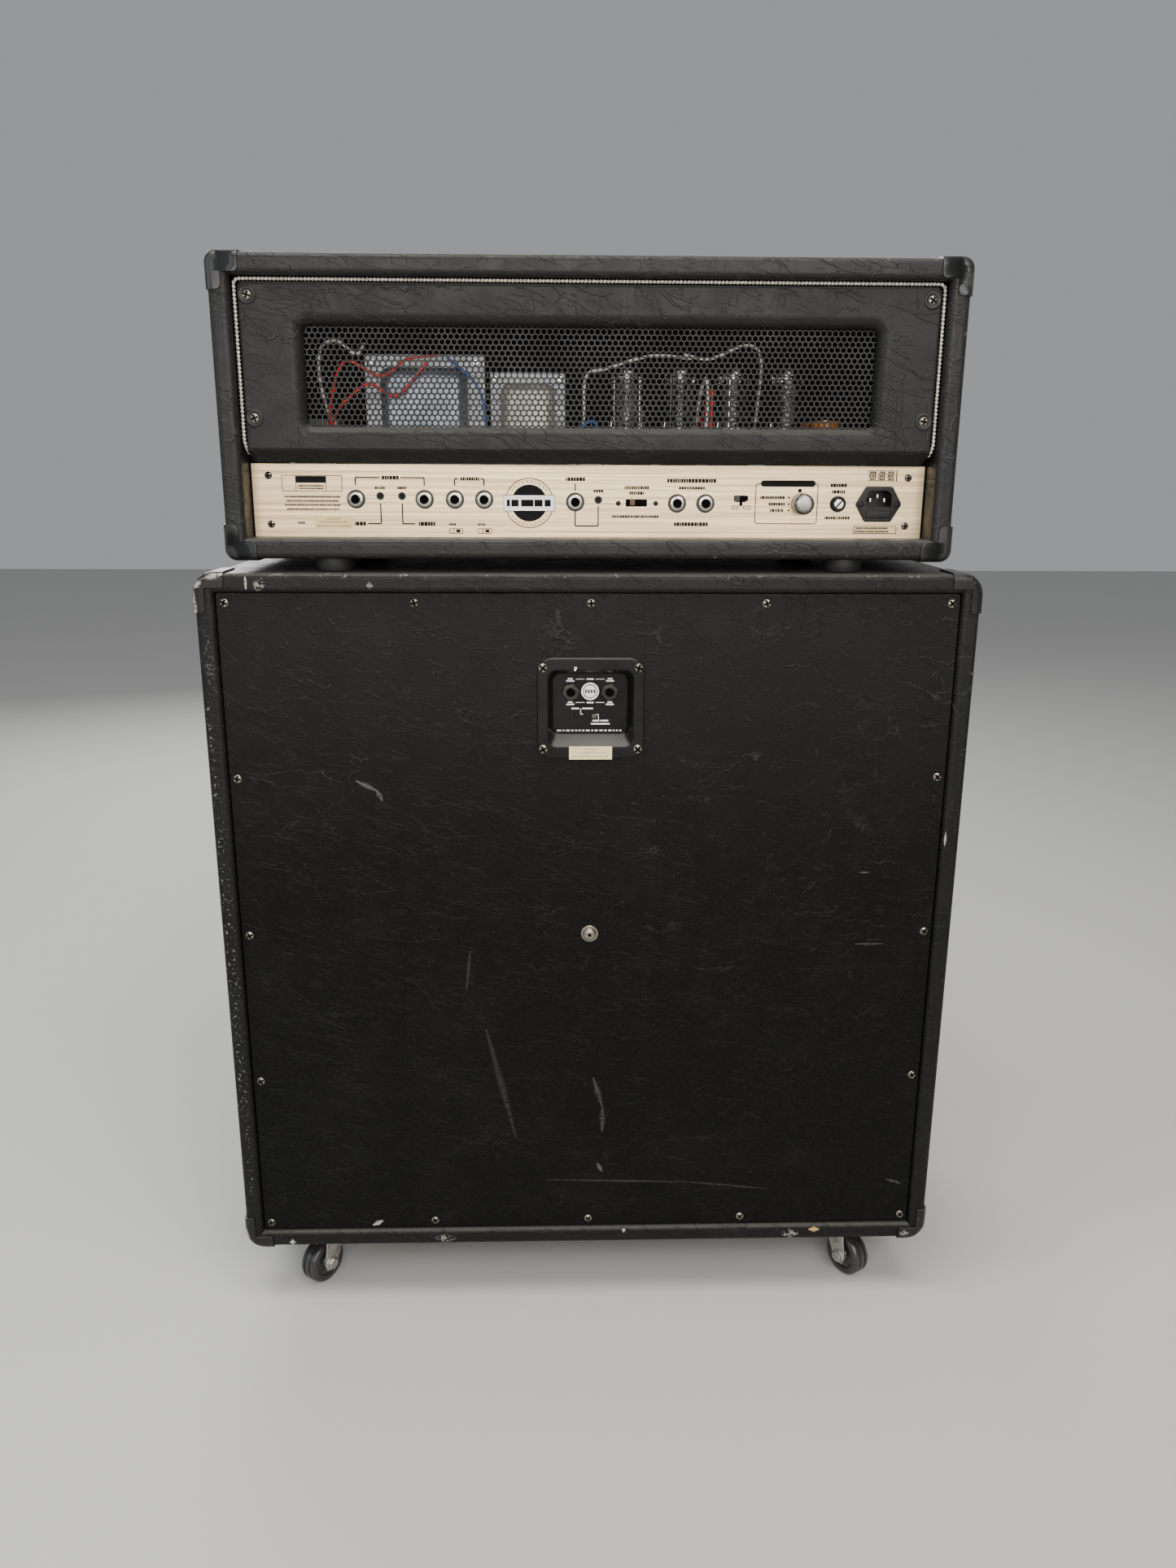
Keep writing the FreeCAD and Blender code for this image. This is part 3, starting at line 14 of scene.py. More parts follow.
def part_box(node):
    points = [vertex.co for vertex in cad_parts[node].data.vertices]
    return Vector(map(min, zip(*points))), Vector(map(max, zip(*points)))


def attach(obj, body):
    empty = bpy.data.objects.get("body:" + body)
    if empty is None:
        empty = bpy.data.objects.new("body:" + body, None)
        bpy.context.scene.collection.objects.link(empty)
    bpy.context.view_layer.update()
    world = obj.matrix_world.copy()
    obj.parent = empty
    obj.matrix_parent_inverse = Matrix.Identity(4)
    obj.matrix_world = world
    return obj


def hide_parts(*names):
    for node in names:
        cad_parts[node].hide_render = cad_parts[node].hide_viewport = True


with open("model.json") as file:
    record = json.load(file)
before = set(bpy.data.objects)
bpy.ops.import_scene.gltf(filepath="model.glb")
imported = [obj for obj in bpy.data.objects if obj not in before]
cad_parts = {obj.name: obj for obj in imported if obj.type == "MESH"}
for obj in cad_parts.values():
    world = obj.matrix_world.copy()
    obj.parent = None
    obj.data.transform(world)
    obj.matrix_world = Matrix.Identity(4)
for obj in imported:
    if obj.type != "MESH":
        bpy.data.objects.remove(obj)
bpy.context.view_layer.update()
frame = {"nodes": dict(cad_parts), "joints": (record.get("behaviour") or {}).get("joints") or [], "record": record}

# Half-stack guitar amplifier. Shapes are drawn in millimetres in the CAD frame (floor centre, +Z
# up, rear panels towards +Y), and piece() turns them into metres. The camera, the lights and the
# measures inside a material are in metres.
MM = 0.001
TAU = 2 * math.pi
random.seed(7)


def extent(node):
    """Low and high corner of a CAD node in millimetres."""
    low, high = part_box(node)
    return Vector(low) / MM, Vector(high) / MM


# ------------------------------------------------------------------ camera, floor and lights
def build_camera():
    """Camera behind the amplifier, at the photographed view."""
    data = bpy.data.cameras.new("camera")
    camera = bpy.data.objects.new("camera", data)
    bpy.context.scene.collection.objects.link(camera)
    camera.location = (0.036, 1.321, 0.922)
    camera.rotation_euler = (math.radians(74.6), math.radians(-0.26), math.radians(178.39))
    data.lens = 27.03
    data.sensor_width = 36
    data.clip_start = 0.02
    bpy.context.scene.camera = camera


def area_light(name, spot, target, size, power, tint=(1, 1, 1)):
    """Rectangular soft light that faces a target; its power is in watts."""
    data = bpy.data.lights.new(name, "AREA")
    data.shape = "RECTANGLE"
    data.size, data.size_y = size
    data.energy = power
    data.color = tint
    lamp = bpy.data.objects.new(name, data)
    bpy.context.scene.collection.objects.link(lamp)
    lamp.location = spot
    lamp.rotation_euler = (Vector(target) - Vector(spot)).to_track_quat("-Z", "Y").to_euler()


def build_studio():
    """Pale floor, grey surroundings and the lights."""
    mesh = bpy.data.meshes.new("floor")
    reach = 9
    mesh.from_pydata([(-reach, -reach, 0), (reach, -reach, 0), (reach, reach, 0),
                      (-reach, reach, 0)], [], [(0, 1, 2, 3)])
    floor = bpy.data.objects.new("floor", mesh)
    bpy.context.scene.collection.objects.link(floor)
    paper = Look("floor_paper", (0.50, 0.50, 0.49), 0.8)
    paper.bump(paper.noise(60, 4), 0.05, 0.002)
    mesh.materials.append(paper.material)
    world = bpy.data.worlds.new("studio")
    bpy.context.scene.world = world
    world.use_nodes = True
    backdrop = world.node_tree.nodes["Background"]
    backdrop.inputs["Color"].default_value = (0.80, 0.81, 0.83, 1)
    backdrop.inputs["Strength"].default_value = 0.42
    area_light("key", (-1.2, 2.4, 2.4), (0, 0, 0.9), (1.6, 1.2), 40, (1, 0.97, 0.92))
    area_light("overhead", (0.2, 0.75, 2.9), (0, 0.1, 0.9), (2.4, 1.0), 70, (1, 0.98, 0.95))
    area_light("side", (2.6, 1.4, 1.4), (0, 0.1, 0.6), (1.2, 1.8), 20, (0.78, 0.89, 1))
    area_light("wall", (0, 3.2, 1.15), (0, 0, 0.98), (2.6, 0.9), 60, (1, 0.93, 0.82))
    area_light("vent", (0.1, 1.8, 1.5), (0, 0.1, 1.0), (1.2, 0.4), 11, (1, 0.97, 0.93))
    area_light("front", (1.0, -2.8, 2.0), (0, 0, 0.7), (2.0, 1.4), 70)


# ------------------------------------------------------------------ procedural materials
class Look:
    """One procedural material: a Principled shader and short helpers for what feeds it."""

    def __init__(self, name, colour, rough, metal=0.0, **sockets):
        self.material = bpy.data.materials.new(name)
        self.material.use_nodes = True
        self.tree = self.material.node_tree
        self.shader = self.tree.nodes["Principled BSDF"]
        self.colour = tuple(colour) + (1,)
        self.set("Base Color", self.colour)
        self.set("Roughness", rough)
        self.set("Metallic", metal)
        for key, value in sockets.items():
            self.set(key.replace("_", " ").title().replace("Ior", "IOR"), value)
        self.place = self.tree.nodes.new("ShaderNodeTexCoord").outputs["Object"]

    def set(self, socket, value):
        """Plain value on the shader."""
        self.shader.inputs[socket].default_value = value

    def link(self, source, target):
        self.tree.links.new(source, target)

    def add(self, kind, **settings):
        """New node with its settings."""
        node = self.tree.nodes.new(kind)
        for key, value in settings.items():
            setattr(node, key, value)
        return node

    def feed(self, node, inputs):
        """Links sockets and sets plain values on a node's inputs."""
        for key, value in inputs.items():
            socket = node.inputs[key]
            if isinstance(value, bpy.types.NodeSocket):
                self.link(value, socket)
            else:
                socket.default_value = value
        return node

    def stretched(self, scale, turn=(0, 0, 0)):
        """Object coordinates in a frame turned by turn, then scaled along its axes."""
        node = self.add("ShaderNodeMapping", vector_type="TEXTURE")
        self.feed(node, {"Vector": self.place, "Scale": tuple(1 / value for value in scale),
                         "Rotation": turn})
        return node.outputs["Vector"]

    def noise(self, scale, detail=3, vector=None, rough=0.55, output="Fac"):
        """Fractal noise, in object coordinates unless a vector is given."""
        node = self.add("ShaderNodeTexNoise")
        self.feed(node, {"Vector": vector or self.place, "Scale": scale, "Detail": detail,
                         "Roughness": rough})
        return node.outputs[output]

    def cells(self, scale, vector=None, feature="F1"):
        """Distance in a cell pattern."""
        node = self.add("ShaderNodeTexVoronoi", feature=feature)
        self.feed(node, {"Vector": vector or self.place, "Scale": scale})
        return node.outputs["Distance"]

    def waves(self, scale, direction="X"):
        """Even bands across one direction."""
        node = self.add("ShaderNodeTexWave", bands_direction=direction)
        self.feed(node, {"Vector": self.place, "Scale": scale})
        return node.outputs["Fac"]

    def maths(self, how, one, two=0.0, clamp=False):
        node = self.add("ShaderNodeMath", operation=how, use_clamp=clamp)
        self.feed(node, {0: one, 1: two})
        return node.outputs[0]

    def vectors(self, how, one, two=(0, 0, 0), output="Vector"):
        node = self.add("ShaderNodeVectorMath", operation=how)
        self.feed(node, {0: one, 1: two})
        return node.outputs[output]

    def remap(self, value, low, high, new_low=0.0, new_high=1.0):
        """Smooth step from low..high to new_low..new_high."""
        node = self.add("ShaderNodeMapRange", interpolation_type="SMOOTHSTEP")
        self.feed(node, {0: value, 1: low, 2: high, 3: new_low, 4: new_high})
        return node.outputs[0]

    def blend(self, factor, one, two):
        """Colour one where factor is 0 and colour two where it is 1."""
        node = self.add("ShaderNodeMix", data_type="RGBA")
        colours = [tuple(value[:3]) + (1,) if isinstance(value, tuple) else value
                   for value in (one, two)]
        self.feed(node, {0: factor, 6: colours[0], 7: colours[1]})
        return node.outputs[2]

    def paint(self, colour_socket):
        self.link(colour_socket, self.shader.inputs["Base Color"])

    def roughen(self, value):
        self.link(value, self.shader.inputs["Roughness"])

    def bump(self, height, strength, distance):
        """Adds a bump; a second call stacks on the first."""
        node = self.add("ShaderNodeBump")
        self.feed(node, {"Height": height, "Strength": strength, "Distance": distance})
        old = self.shader.inputs["Normal"].links
        if old:
            self.link(old[0].from_socket, node.inputs["Normal"])
        self.link(node.outputs["Normal"], self.shader.inputs["Normal"])

    def axis(self, name):
        """One object coordinate."""
        node = self.add("ShaderNodeSeparateXYZ")
        self.link(self.place, node.inputs[0])
        return node.outputs[name]

    def dust_and_top_light(self, low=0.6, high=0.95):
        """1 on faces that look up: settled dust, and a painted highlight where overhead light falls on them."""
        node = self.add("ShaderNodeSeparateXYZ")
        self.link(self.place.node.outputs["Normal"], node.inputs[0])
        return self.remap(node.outputs["Z"], low, high)

    def streak(self, start, end, width):
        """1 on a segment from start to end (metres), fading to 0 at a width that tapers."""
        along = Vector(end) - Vector(start)
        away = self.vectors("SUBTRACT", self.place, tuple(start))
        dot = self.vectors("DOT_PRODUCT", away, tuple(along), output="Value")
        share = self.maths("DIVIDE", dot, along.length_squared, clamp=True)
        scale = self.add("ShaderNodeVectorMath", operation="SCALE")
        scale.inputs[0].default_value = along
        self.link(share, scale.inputs["Scale"])
        gap = self.vectors("SUBTRACT", away, scale.outputs[0])
        distance = self.vectors("LENGTH", gap, output="Value")
        ends = self.maths("POWER", self.maths("ABSOLUTE", self.maths(
            "MULTIPLY", self.maths("SUBTRACT", share, 0.5), 2.0)), 2.0)
        taper = self.maths("ADD", self.maths("MULTIPLY", ends, 1.4), 0.8)
        return self.remap(self.maths("MULTIPLY", distance, taper), width, width * 0.15)

    def scuffed(self, colour, scuffs):
        """Adds worn marks: each is (start, end, width, strength, sparseness[, own colour])."""
        marks = {}
        for begin, finish, width, strength, sparse, *own in scuffs:
            shade = own[0] if own else (0.44, 0.42, 0.38)
            marks.setdefault((strength, sparse, shade), []).append(
                self.streak(begin, finish, width))
        for (strength, sparse, shade), found in marks.items():
            broken = self.remap(self.noise(340, 4), sparse - 0.08, sparse + 0.04)
            mark = self.maths("MULTIPLY", self.most(found), broken)
            colour = self.blend(self.maths("MULTIPLY", mark, strength), colour, shade)
        return colour

    def most(self, values):
        """Largest of several values."""
        return functools.reduce(lambda one, two: self.maths("MAXIMUM", one, two), values)


def creases(look):
    """Hairline ridges: long ones slanting down to -X, shorter branches and a few upright ones."""
    warp = look.vectors("SCALE", look.noise(20, 6, output="Color"))
    warp.node.inputs["Scale"].default_value = 0.020
    slant, steep, level, erect = [
        look.vectors("ADD", look.stretched(scale, turn), warp) for scale, turn in (
            ((0.20, 0.26, 1.2), (0, math.radians(-17), 0)),
            ((0.28, 0.30, 1.2), (0, math.radians(-32), 0)),
            ((0.25, 0.35, 1.2), (math.radians(12), math.radians(9), 0)),
            ((1.3, 1.2, 0.20), (0, 0.04, 0)))]
    lines = []
    for vector, scale, width, keep, weight in (
            (slant, 20, 0.0110, 0.48, 1.0), (slant, 46, 0.0190, 0.46, 0.75),
            (steep, 26, 0.0130, 0.50, 0.9), (level, 34, 0.0150, 0.52, 0.6),
            (erect, 34, 0.0140, 0.53, 0.40), (slant, 110, 0.045, 0.45, 0.45),
            (erect, 120, 0.045, 0.52, 0.22)):
        edge = look.remap(look.cells(scale, vector, "DISTANCE_TO_EDGE"), width, width * 0.1)
        patch = look.remap(look.noise(6 + scale * 0.3, 3), keep, keep + 0.16, 0.0, weight)
        lines.append(look.maths("MULTIPLY", edge, patch))
    return look.most(lines)


def tolex(name, scuffs=(), edge_wear=None, tone=1.0, gloss=0.3, painted_top_light=0.0):
    """Black vinyl cloth: hairline creases, a fine pebble grain and worn scuffs.

    With a painted top light the upper part is painted lighter, standing in for light falling from above, and its
    creases show more."""
    base = (0.0100 * tone, 0.0100 * tone, 0.0098 * tone)

    def paler(more):
        return tuple(channel + more for channel in base)

    look = Look(name, base, 0.45, specular_ior_level=gloss)
    crease = creases(look)
    swell = look.noise(34, 4)
    grain = look.noise(900, 3, rough=0.7)
    pores = look.cells(520)
    colour = base
    # Painted top light: the colour grows lighter with height, as if lit more from above.
    if painted_top_light:
        share = look.remap(look.axis("Z"), 0.45, 0.80)
        colour = look.blend(share, base, tuple(channel * (1 + painted_top_light) for channel in base))
    dust = look.remap(look.noise(13, 6, rough=0.65), 0.45, 0.78)
    fleck = look.remap(look.noise(420, 3, rough=0.8), 0.35, 0.75)
    colour = look.blend(look.maths("MULTIPLY", fleck, 0.45), colour, paler(0.008))
    # The creases show more towards the top, following the painted top light.
    shown = look.remap(look.axis("Z"), 0.20, 0.75, 0.16, 0.50) if painted_top_light else 0.42
    colour = look.blend(look.maths("MULTIPLY", crease, shown), colour, paler(0.032))
    colour = look.blend(look.maths("MULTIPLY", dust, 0.05), colour, (0.05, 0.05, 0.048))
    # Upward faces such as ledges are paler: partly settled dust, partly a painted highlight from overhead light.
    colour = look.blend(look.maths("MULTIPLY", look.dust_and_top_light(0.4, 0.95), 0.42), colour,
                        (0.105, 0.102, 0.090))
    rough = look.remap(look.noise(45, 4), 0.3, 0.7, 0.38, 0.52)
    colour = look.scuffed(colour, scuffs)
    if edge_wear:
        colour = look.blend(edge_wear(look), colour, (0.36, 0.34, 0.30))
    look.paint(colour)
    look.roughen(rough)
    look.bump(grain, 0.22, 0.00025)
    look.bump(pores, 0.20, 0.0003)
    look.bump(swell, 0.30, 0.0012)
    look.bump(crease, 1.0, 0.0011)
    return look.material


def rim_wear(low, high):
    """Rubbed-through patches near a box's outer corners and along its outer rims."""
    middle = (low + high) / 2 * MM
    half = (high - low) / 2 * MM

    def rub(look):
        near = {}
        for name, centre, reach in zip("XYZ", (0, middle.y, middle.z), half):
            away = look.maths("ABSOLUTE", look.maths("SUBTRACT", look.axis(name), centre))
            near[name] = look.remap(away, reach - 0.005, reach - 0.0005)
        pair = look.most([look.maths("MULTIPLY", near[one], near[two])
                          for one, two in ("XZ", "XY", "ZY")])
        chips = look.remap(look.noise(95, 6, rough=0.72), 0.60, 0.65)
        return look.maths("MULTIPLY", look.maths("MULTIPLY", pair, chips), 0.55)
    return rub


def plain(name, colour, rough, metal=0.0, grain=700, depth=0.00012, spread=0.08, tint=0.25,
          dust=0.0, scuffs=(), **sockets):
    """Moulded, painted or plated finish: fine grain, cloudy gloss and slight colour change."""
    look = Look(name, colour, rough, metal, **sockets)
    cloud = look.noise(22, 4)
    look.roughen(look.remap(cloud, 0.3, 0.7, max(rough - spread, 0.03), rough + spread))
    darker = tuple(channel * (1 - tint) for channel in colour)
    paint = look.blend(look.remap(look.noise(48, 5), 0.3, 0.75), tuple(colour), darker)
    # The dust share makes upward faces paler: partly settled dust, partly a painted highlight from overhead light.
    if dust:
        paint = look.blend(look.maths("MULTIPLY", look.dust_and_top_light(), dust), paint,
                           (0.20, 0.195, 0.18))
    look.paint(look.scuffed(paint, scuffs))
    look.bump(look.noise(grain, 3), 0.3, depth)
    return look


def brushed(name, colour, rough):
    """Metal brushed along X."""
    look = Look(name, colour, rough, 0.65)
    lines = look.noise(1, 5, look.stretched((4, 350, 420)), rough=0.75)
    cloud = look.noise(6, 3)
    look.roughen(look.remap(lines, 0.25, 0.75, rough - 0.08, rough + 0.12))
    shade = tuple(channel * 0.62 for channel in colour)
    mixed = look.blend(look.remap(lines, 0.35, 0.65), tuple(colour), shade)
    look.paint(look.blend(look.remap(cloud, 0.35, 0.8, 0, 0.35), mixed, shade))
    look.bump(lines, 0.25, 0.00006)
    return look.material


def worn_steel(name):
    """Zinc-plated pressing with tarnish and brown spots."""
    look = Look(name, (0.55, 0.54, 0.51), 0.38, 1.0)
    spots = look.remap(look.noise(75, 6, rough=0.65), 0.52, 0.66)
    film = look.remap(look.noise(28, 4), 0.35, 0.7)
    colour = look.blend(film, (0.60, 0.59, 0.56), (0.40, 0.38, 0.34))
    look.paint(look.blend(look.maths("MULTIPLY", spots, 0.7), colour, (0.20, 0.13, 0.07)))
    look.roughen(look.remap(film, 0, 1, 0.28, 0.52))
    look.bump(look.noise(260, 4), 0.3, 0.0002)
    return look.material


def woven(name, colour, light):
    """Speaker cloth: two crossing sets of threads."""
    look = Look(name, colour, 0.85, sheen_weight=0.15)
    warp = look.waves(420)
    weft = look.waves(420, "Z")
    threads = look.maths("MULTIPLY", warp, weft)
    fleck = look.remap(look.noise(700, 2), 0.45, 0.7)
    mixed = look.blend(look.maths("MULTIPLY", threads, 0.8), tuple(colour), tuple(light))
    look.paint(look.blend(look.maths("MULTIPLY", fleck, 0.25), mixed, tuple(light)))
    look.bump(threads, 0.8, 0.0006)
    return look.material


def ply(name):
    """Unfinished birch with its grain along X."""
    look = Look(name, (0.36, 0.24, 0.14), 0.7)
    grain = look.noise(14, 6, look.stretched((1, 6, 9)))
    look.paint(look.blend(look.remap(grain, 0.3, 0.7), (0.42, 0.29, 0.17), (0.22, 0.14, 0.08)))
    look.bump(grain, 0.4, 0.0004)
    return look.material


# ------------------------------------------------------------------ mesh helpers
class Shape:
    """Vertices in millimetres and faces with a material number, gathered into one piece."""

    def __init__(self):
        self.verts = []
        self.faces = []
        self.marks = []

    def add(self, verts, faces, mark=0):
        start = len(self.verts)
        self.verts.extend([tuple(vert) for vert in verts])
        self.faces.extend([tuple(index + start for index in face) for face in faces])
        self.marks.extend([mark] * len(faces))
        return self

    def join(self, other, matrix=None, mark=None):
        """Copies another shape in, moved by a matrix; a mark takes the place of its own."""
        verts = other.verts
        if matrix is not None:
            moved = np.array(verts, float) @ np.array(matrix.to_3x3()).T
            verts = (moved + np.array(matrix.translation)).tolist()
        self.add(verts, other.faces, mark)
        if mark is None:
            self.marks[len(self.marks) - len(other.marks):] = other.marks
        return self

    def skin(self, rings, caps=(True, True), loop=False, mark=0):
        """Quads between rings of equal length; caps close the two ends, or a loop joins them."""
        count = len(rings[0])
        verts = [vert for ring in rings for vert in ring]
        faces = []
        total = len(rings)
        for index in range(total if loop else total - 1):
            one = index * count
            two = ((index + 1) % total) * count
            for step in range(count):
                after = (step + 1) % count
                faces.append((one + step, one + after, two + after, two + step))
        if not loop and caps[0]:
            faces.append(tuple(range(count)))
        if not loop and caps[1]:
            faces.append(tuple(range((total - 1) * count, total * count)))
        return self.add(verts, faces, mark)

    def cover(self, rings):
        """Flat face in an XZ plane between an outer ring and the rings of its holes."""
        flat = [[Vector((x, z, 0)) for x, _, z in ring] for ring in rings]
        faces = [tuple(face) for face in tessellate_polygon(flat)]
        return self.add([vert for ring in rings for vert in ring], faces)


def at(outline, y):
    """Ring of an (x, z) outline at one depth."""
    return [(x, y, z) for x, z in outline]


def hexagon(angle):
    """Distance to a hexagon's edge, as a share of half its width across the flats."""
    return math.cos(math.pi / 6) / math.cos(angle % (math.pi / 3) - math.pi / 6)


def hex_rings(levels, steps):
    """Rings of a six-sided nut, one for each (reach, height)."""
    rings = []
    for reach, height in levels:
        angles = [TAU * step / steps for step in range(steps)]
        rings.append([(reach * hexagon(angle) * math.cos(angle),
                       reach * hexagon(angle) * math.sin(angle), height) for angle in angles])
    return rings


def turned(profile, steps=32, lobes=0, depth=0.0, span=(0.0, 0.0), bored=False):
    """Lathe: profile of (radius, height) about Z; lobes flute the heights inside span.

    A bored profile goes up the outside and comes back down the hole."""
    rings = []
    for radius, height in profile:
        ring = []
        for step in range(steps):
            angle = TAU * step / steps
            fluted = radius
            if lobes and span[0] <= height <= span[1]:
                fluted = radius - depth * (0.5 - 0.5 * math.cos(lobes * angle))
            ring.append((fluted * math.cos(angle), fluted * math.sin(angle), height))
        rings.append(ring)
    return Shape().skin(rings, caps=(profile[0][0] > 0, profile[-1][0] > 0), loop=bored)


def arc(centre, radius, start, end, steps):
    """Points on a circle arc, angles in degrees."""
    points = []
    for step in range(steps + 1):
        angle = math.radians(start + (end - start) * step / steps)
        points.append((centre[0] + radius * math.cos(angle),
                       centre[1] + radius * math.sin(angle)))
    return points


def rounded(centre, width, height, radius, steps=5):
    """Rounded rectangle, anticlockwise."""
    radius = min(radius, width / 2 - 0.01, height / 2 - 0.01)
    points = []
    for index, (sx, sz) in enumerate(((1, 1), (-1, 1), (-1, -1), (1, -1))):
        middle = (centre[0] + sx * (width / 2 - radius), centre[1] + sz * (height / 2 - radius))
        points.extend(arc(middle, radius, index * 90, index * 90 + 90, steps))
    return points


def rect_loop(centre, width, height, radius, steps=5, hole=False):
    """A rounded rectangle as a function of inset; a hole grows where a rim shrinks."""
    sign = -1 if hole else 1
    return lambda inset: rounded(centre, width - 2 * sign * inset, height - 2 * sign * inset,
                                 max(radius - sign * inset, 0.2), steps)


def soft_corners(points, radius, steps=4):
    """Rounds every corner of a polygon with a short arc."""
    result = []
    count = len(points)
    for index in range(count):
        here = Vector(points[index])
        before = Vector(points[index - 1]) - here
        after = Vector(points[(index + 1) % count]) - here
        half = before.angle(after) / 2
        cut = min(radius / math.tan(half), before.length * 0.48, after.length * 0.48)
        one = here + before.normalized() * cut
        two = here + after.normalized() * cut
        for step in range(steps + 1):
            share = step / steps
            a = one.lerp(here, share)
            b = here.lerp(two, share)
            result.append(tuple(a.lerp(b, share)))
    return result


def slab(loops, back, front, round_front, round_back, steps=4):
    """Plate in the XZ plane between two depths: first loop is the rim, others are holes.

    The front edge of every loop is rounded over round_front, the back one over round_back."""
    shape = Shape()
    direction = 1 if front > back else -1
    stations = []
    for radius, edge, side in ((round_front, front, 1), (round_back, back, -1)):
        row = [(0.0, edge)]
        if radius > 0:
            angles = [math.pi / 2 * step / steps for step in range(steps + 1)]
            row = [(radius * (1 - math.sin(angle)),
                    edge - side * direction * radius * (1 - math.cos(angle)))
                   for angle in angles]
        stations.extend(row[::side])
    skins = [[at(loop(inset), depth) for inset, depth in stations] for loop in loops]
    for rings in skins:
        shape.skin(rings, caps=(False, False))
    for end in (0, -1):
        shape.cover([rings[end] for rings in skins])
    return shape


def brick(low, high, radius):
    """Box with rounded upright edges and rims, facing +Y."""
    centre = ((low[0] + high[0]) / 2, (low[2] + high[2]) / 2)
    loop = rect_loop(centre, high[0] - low[0], high[2] - low[2], radius * 1.5, 3)
    return slab([loop], low[1], high[1], radius, radius, 2)


def swept(path, radius, steps, closed=False, pitch=0.0, lobes=0, depth=0.0):
    """Tube along points; with lobes and a pitch it is a twisted cord."""
    points = [Vector(point) for point in path]
    count = len(points)
    rings = []
    travelled = 0.0
    normal = None
    for index, point in enumerate(points):
        if closed:
            ahead = points[(index + 1) % count] - points[index - 1]
        else:
            ahead = points[min(index + 1, count - 1)] - points[max(index - 1, 0)]
        ahead.normalize()
        if normal is None:
            normal = ahead.orthogonal().normalized()
        normal = (normal - ahead * normal.dot(ahead)).normalized()
        other = ahead.cross(normal)
        if index:
            travelled += (point - points[index - 1]).length
        spin = TAU * travelled / pitch if pitch else 0.0
        ring = []
        for step in range(steps):
            angle = TAU * step / steps
            reach = radius
            if lobes:
                reach -= depth * abs(math.sin(lobes * angle / 2))
            turned_angle = angle + spin
            ring.append(point + normal * (reach * math.cos(turned_angle))
                        + other * (reach * math.sin(turned_angle)))
        rings.append(ring)
    return Shape().skin(rings, loop=closed)


def spaced(path, gap, closed=False):
    """Points at even spacing along a polyline."""
    points = [Vector(point) for point in path]
    if closed:
        points.append(points[0])
    lengths = [0.0]
    for one, two in zip(points, points[1:]):
        lengths.append(lengths[-1] + (two - one).length)
    total = lengths[-1]
    count = max(2, round(total / gap))
    result = []
    place = 0
    for step in range(count if closed else count + 1):
        target = total * step / count
        while place < len(lengths) - 2 and lengths[place + 1] < target:
            place += 1
        share = (target - lengths[place]) / max(lengths[place + 1] - lengths[place], 1e-9)
        result.append(points[place].lerp(points[place + 1], share))
    return result


def clean(mesh, distance):
    """Merges vertices closer than a distance (0 leaves them) and points the faces outwards."""
    work = bmesh.new()
    work.from_mesh(mesh)
    if distance:
        bmesh.ops.remove_doubles(work, verts=work.verts, dist=distance)
    bmesh.ops.recalc_face_normals(work, faces=work.faces)
    work.to_mesh(mesh)
    work.free()


def weight_normals(thing):
    """Face-weighted normals: broad flat faces shade flat beside their rounded rims."""
    modifier = thing.modifiers.new("weighted", "WEIGHTED_NORMAL")
    modifier.keep_sharp = True
    graph = bpy.context.evaluated_depsgraph_get()
    mesh = bpy.data.meshes.new_from_object(thing.evaluated_get(graph),
                                           preserve_all_data_layers=True, depsgraph=graph)
    thing.modifiers.clear()
    old, thing.data = thing.data, mesh
    bpy.data.meshes.remove(old)
    mesh.name = thing.name


def piece(name, shape, looks, body, replaces=(), smooth=35, weld=True):
    """Turns a gathered shape into one object that rides on a body."""
    mesh = bpy.data.meshes.new(name)
    mesh.from_pydata([tuple(value * MM for value in vert) for vert in shape.verts], [],
                     shape.faces)
    mesh.polygons.foreach_set("material_index", shape.marks)
    for look in looks if isinstance(looks, (list, tuple)) else [looks]:
        mesh.materials.append(look.material if isinstance(look, Look) else look)
    clean(mesh, 2e-6 if weld else 0)
    mesh.shade_smooth()
    mesh.set_sharp_from_angle(angle=math.radians(smooth))
    thing = bpy.data.objects.new(name, mesh)
    bpy.context.scene.collection.objects.link(thing)
    weight_normals(thing)
    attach(thing, body)
    if replaces:
        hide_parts(*replaces)
    return thing


def facing(spot, side=1):
    """Matrix that stands a Z-up turned shape at a spot so that its top points to +Y or -Y."""
    turn = Matrix.Rotation(math.radians(-90 * side), 4, "X")
    return Matrix.Translation(Vector(spot)) @ turn


def upright(spot, heading=0.0):
    """Matrix that stands a Z-up shape at a spot, turned by a heading in degrees."""
    return Matrix.Translation(Vector(spot)) @ Matrix.Rotation(math.radians(heading), 4, "Z")


def repaint(node, look):
    """A CAD node that keeps its shape takes a procedural material."""
    thing = frame["nodes"][node]
    thing.data.materials.clear()
    thing.data.materials.append(look.material if isinstance(look, Look) else look)


# ------------------------------------------------------------------ shared finishes
build_camera()
build_studio()
CAB_LOW, CAB_HIGH = extent("cab_shell")
HEAD_LOW, HEAD_HIGH = extent("head_shell")
PANEL_LOW, PANEL_HIGH = extent("cab_back_panel")
PANEL_Y = PANEL_HIGH.y
DISH_LOW, DISH_HIGH = extent("cab_jack_dish")
DISH_Z = (DISH_LOW.z + DISH_HIGH.z) / 2
REAR_Y = extent("rear_plate")[1].y
FRONT_Y = extent("front_panel")[0].y
CORNERS = ((-1, -1), (-1, 1), (1, -1), (1, 1))
JOINTS = {joint["name"]: joint for joint in frame["joints"]}
CASTER_X, CASTER_Y = [abs(value) / MM for value in JOINTS["swivel_1"]["pos_m"][:2]]
MOUNTS = {mount["name"]: mount for mount in frame["record"]["mounts"]}


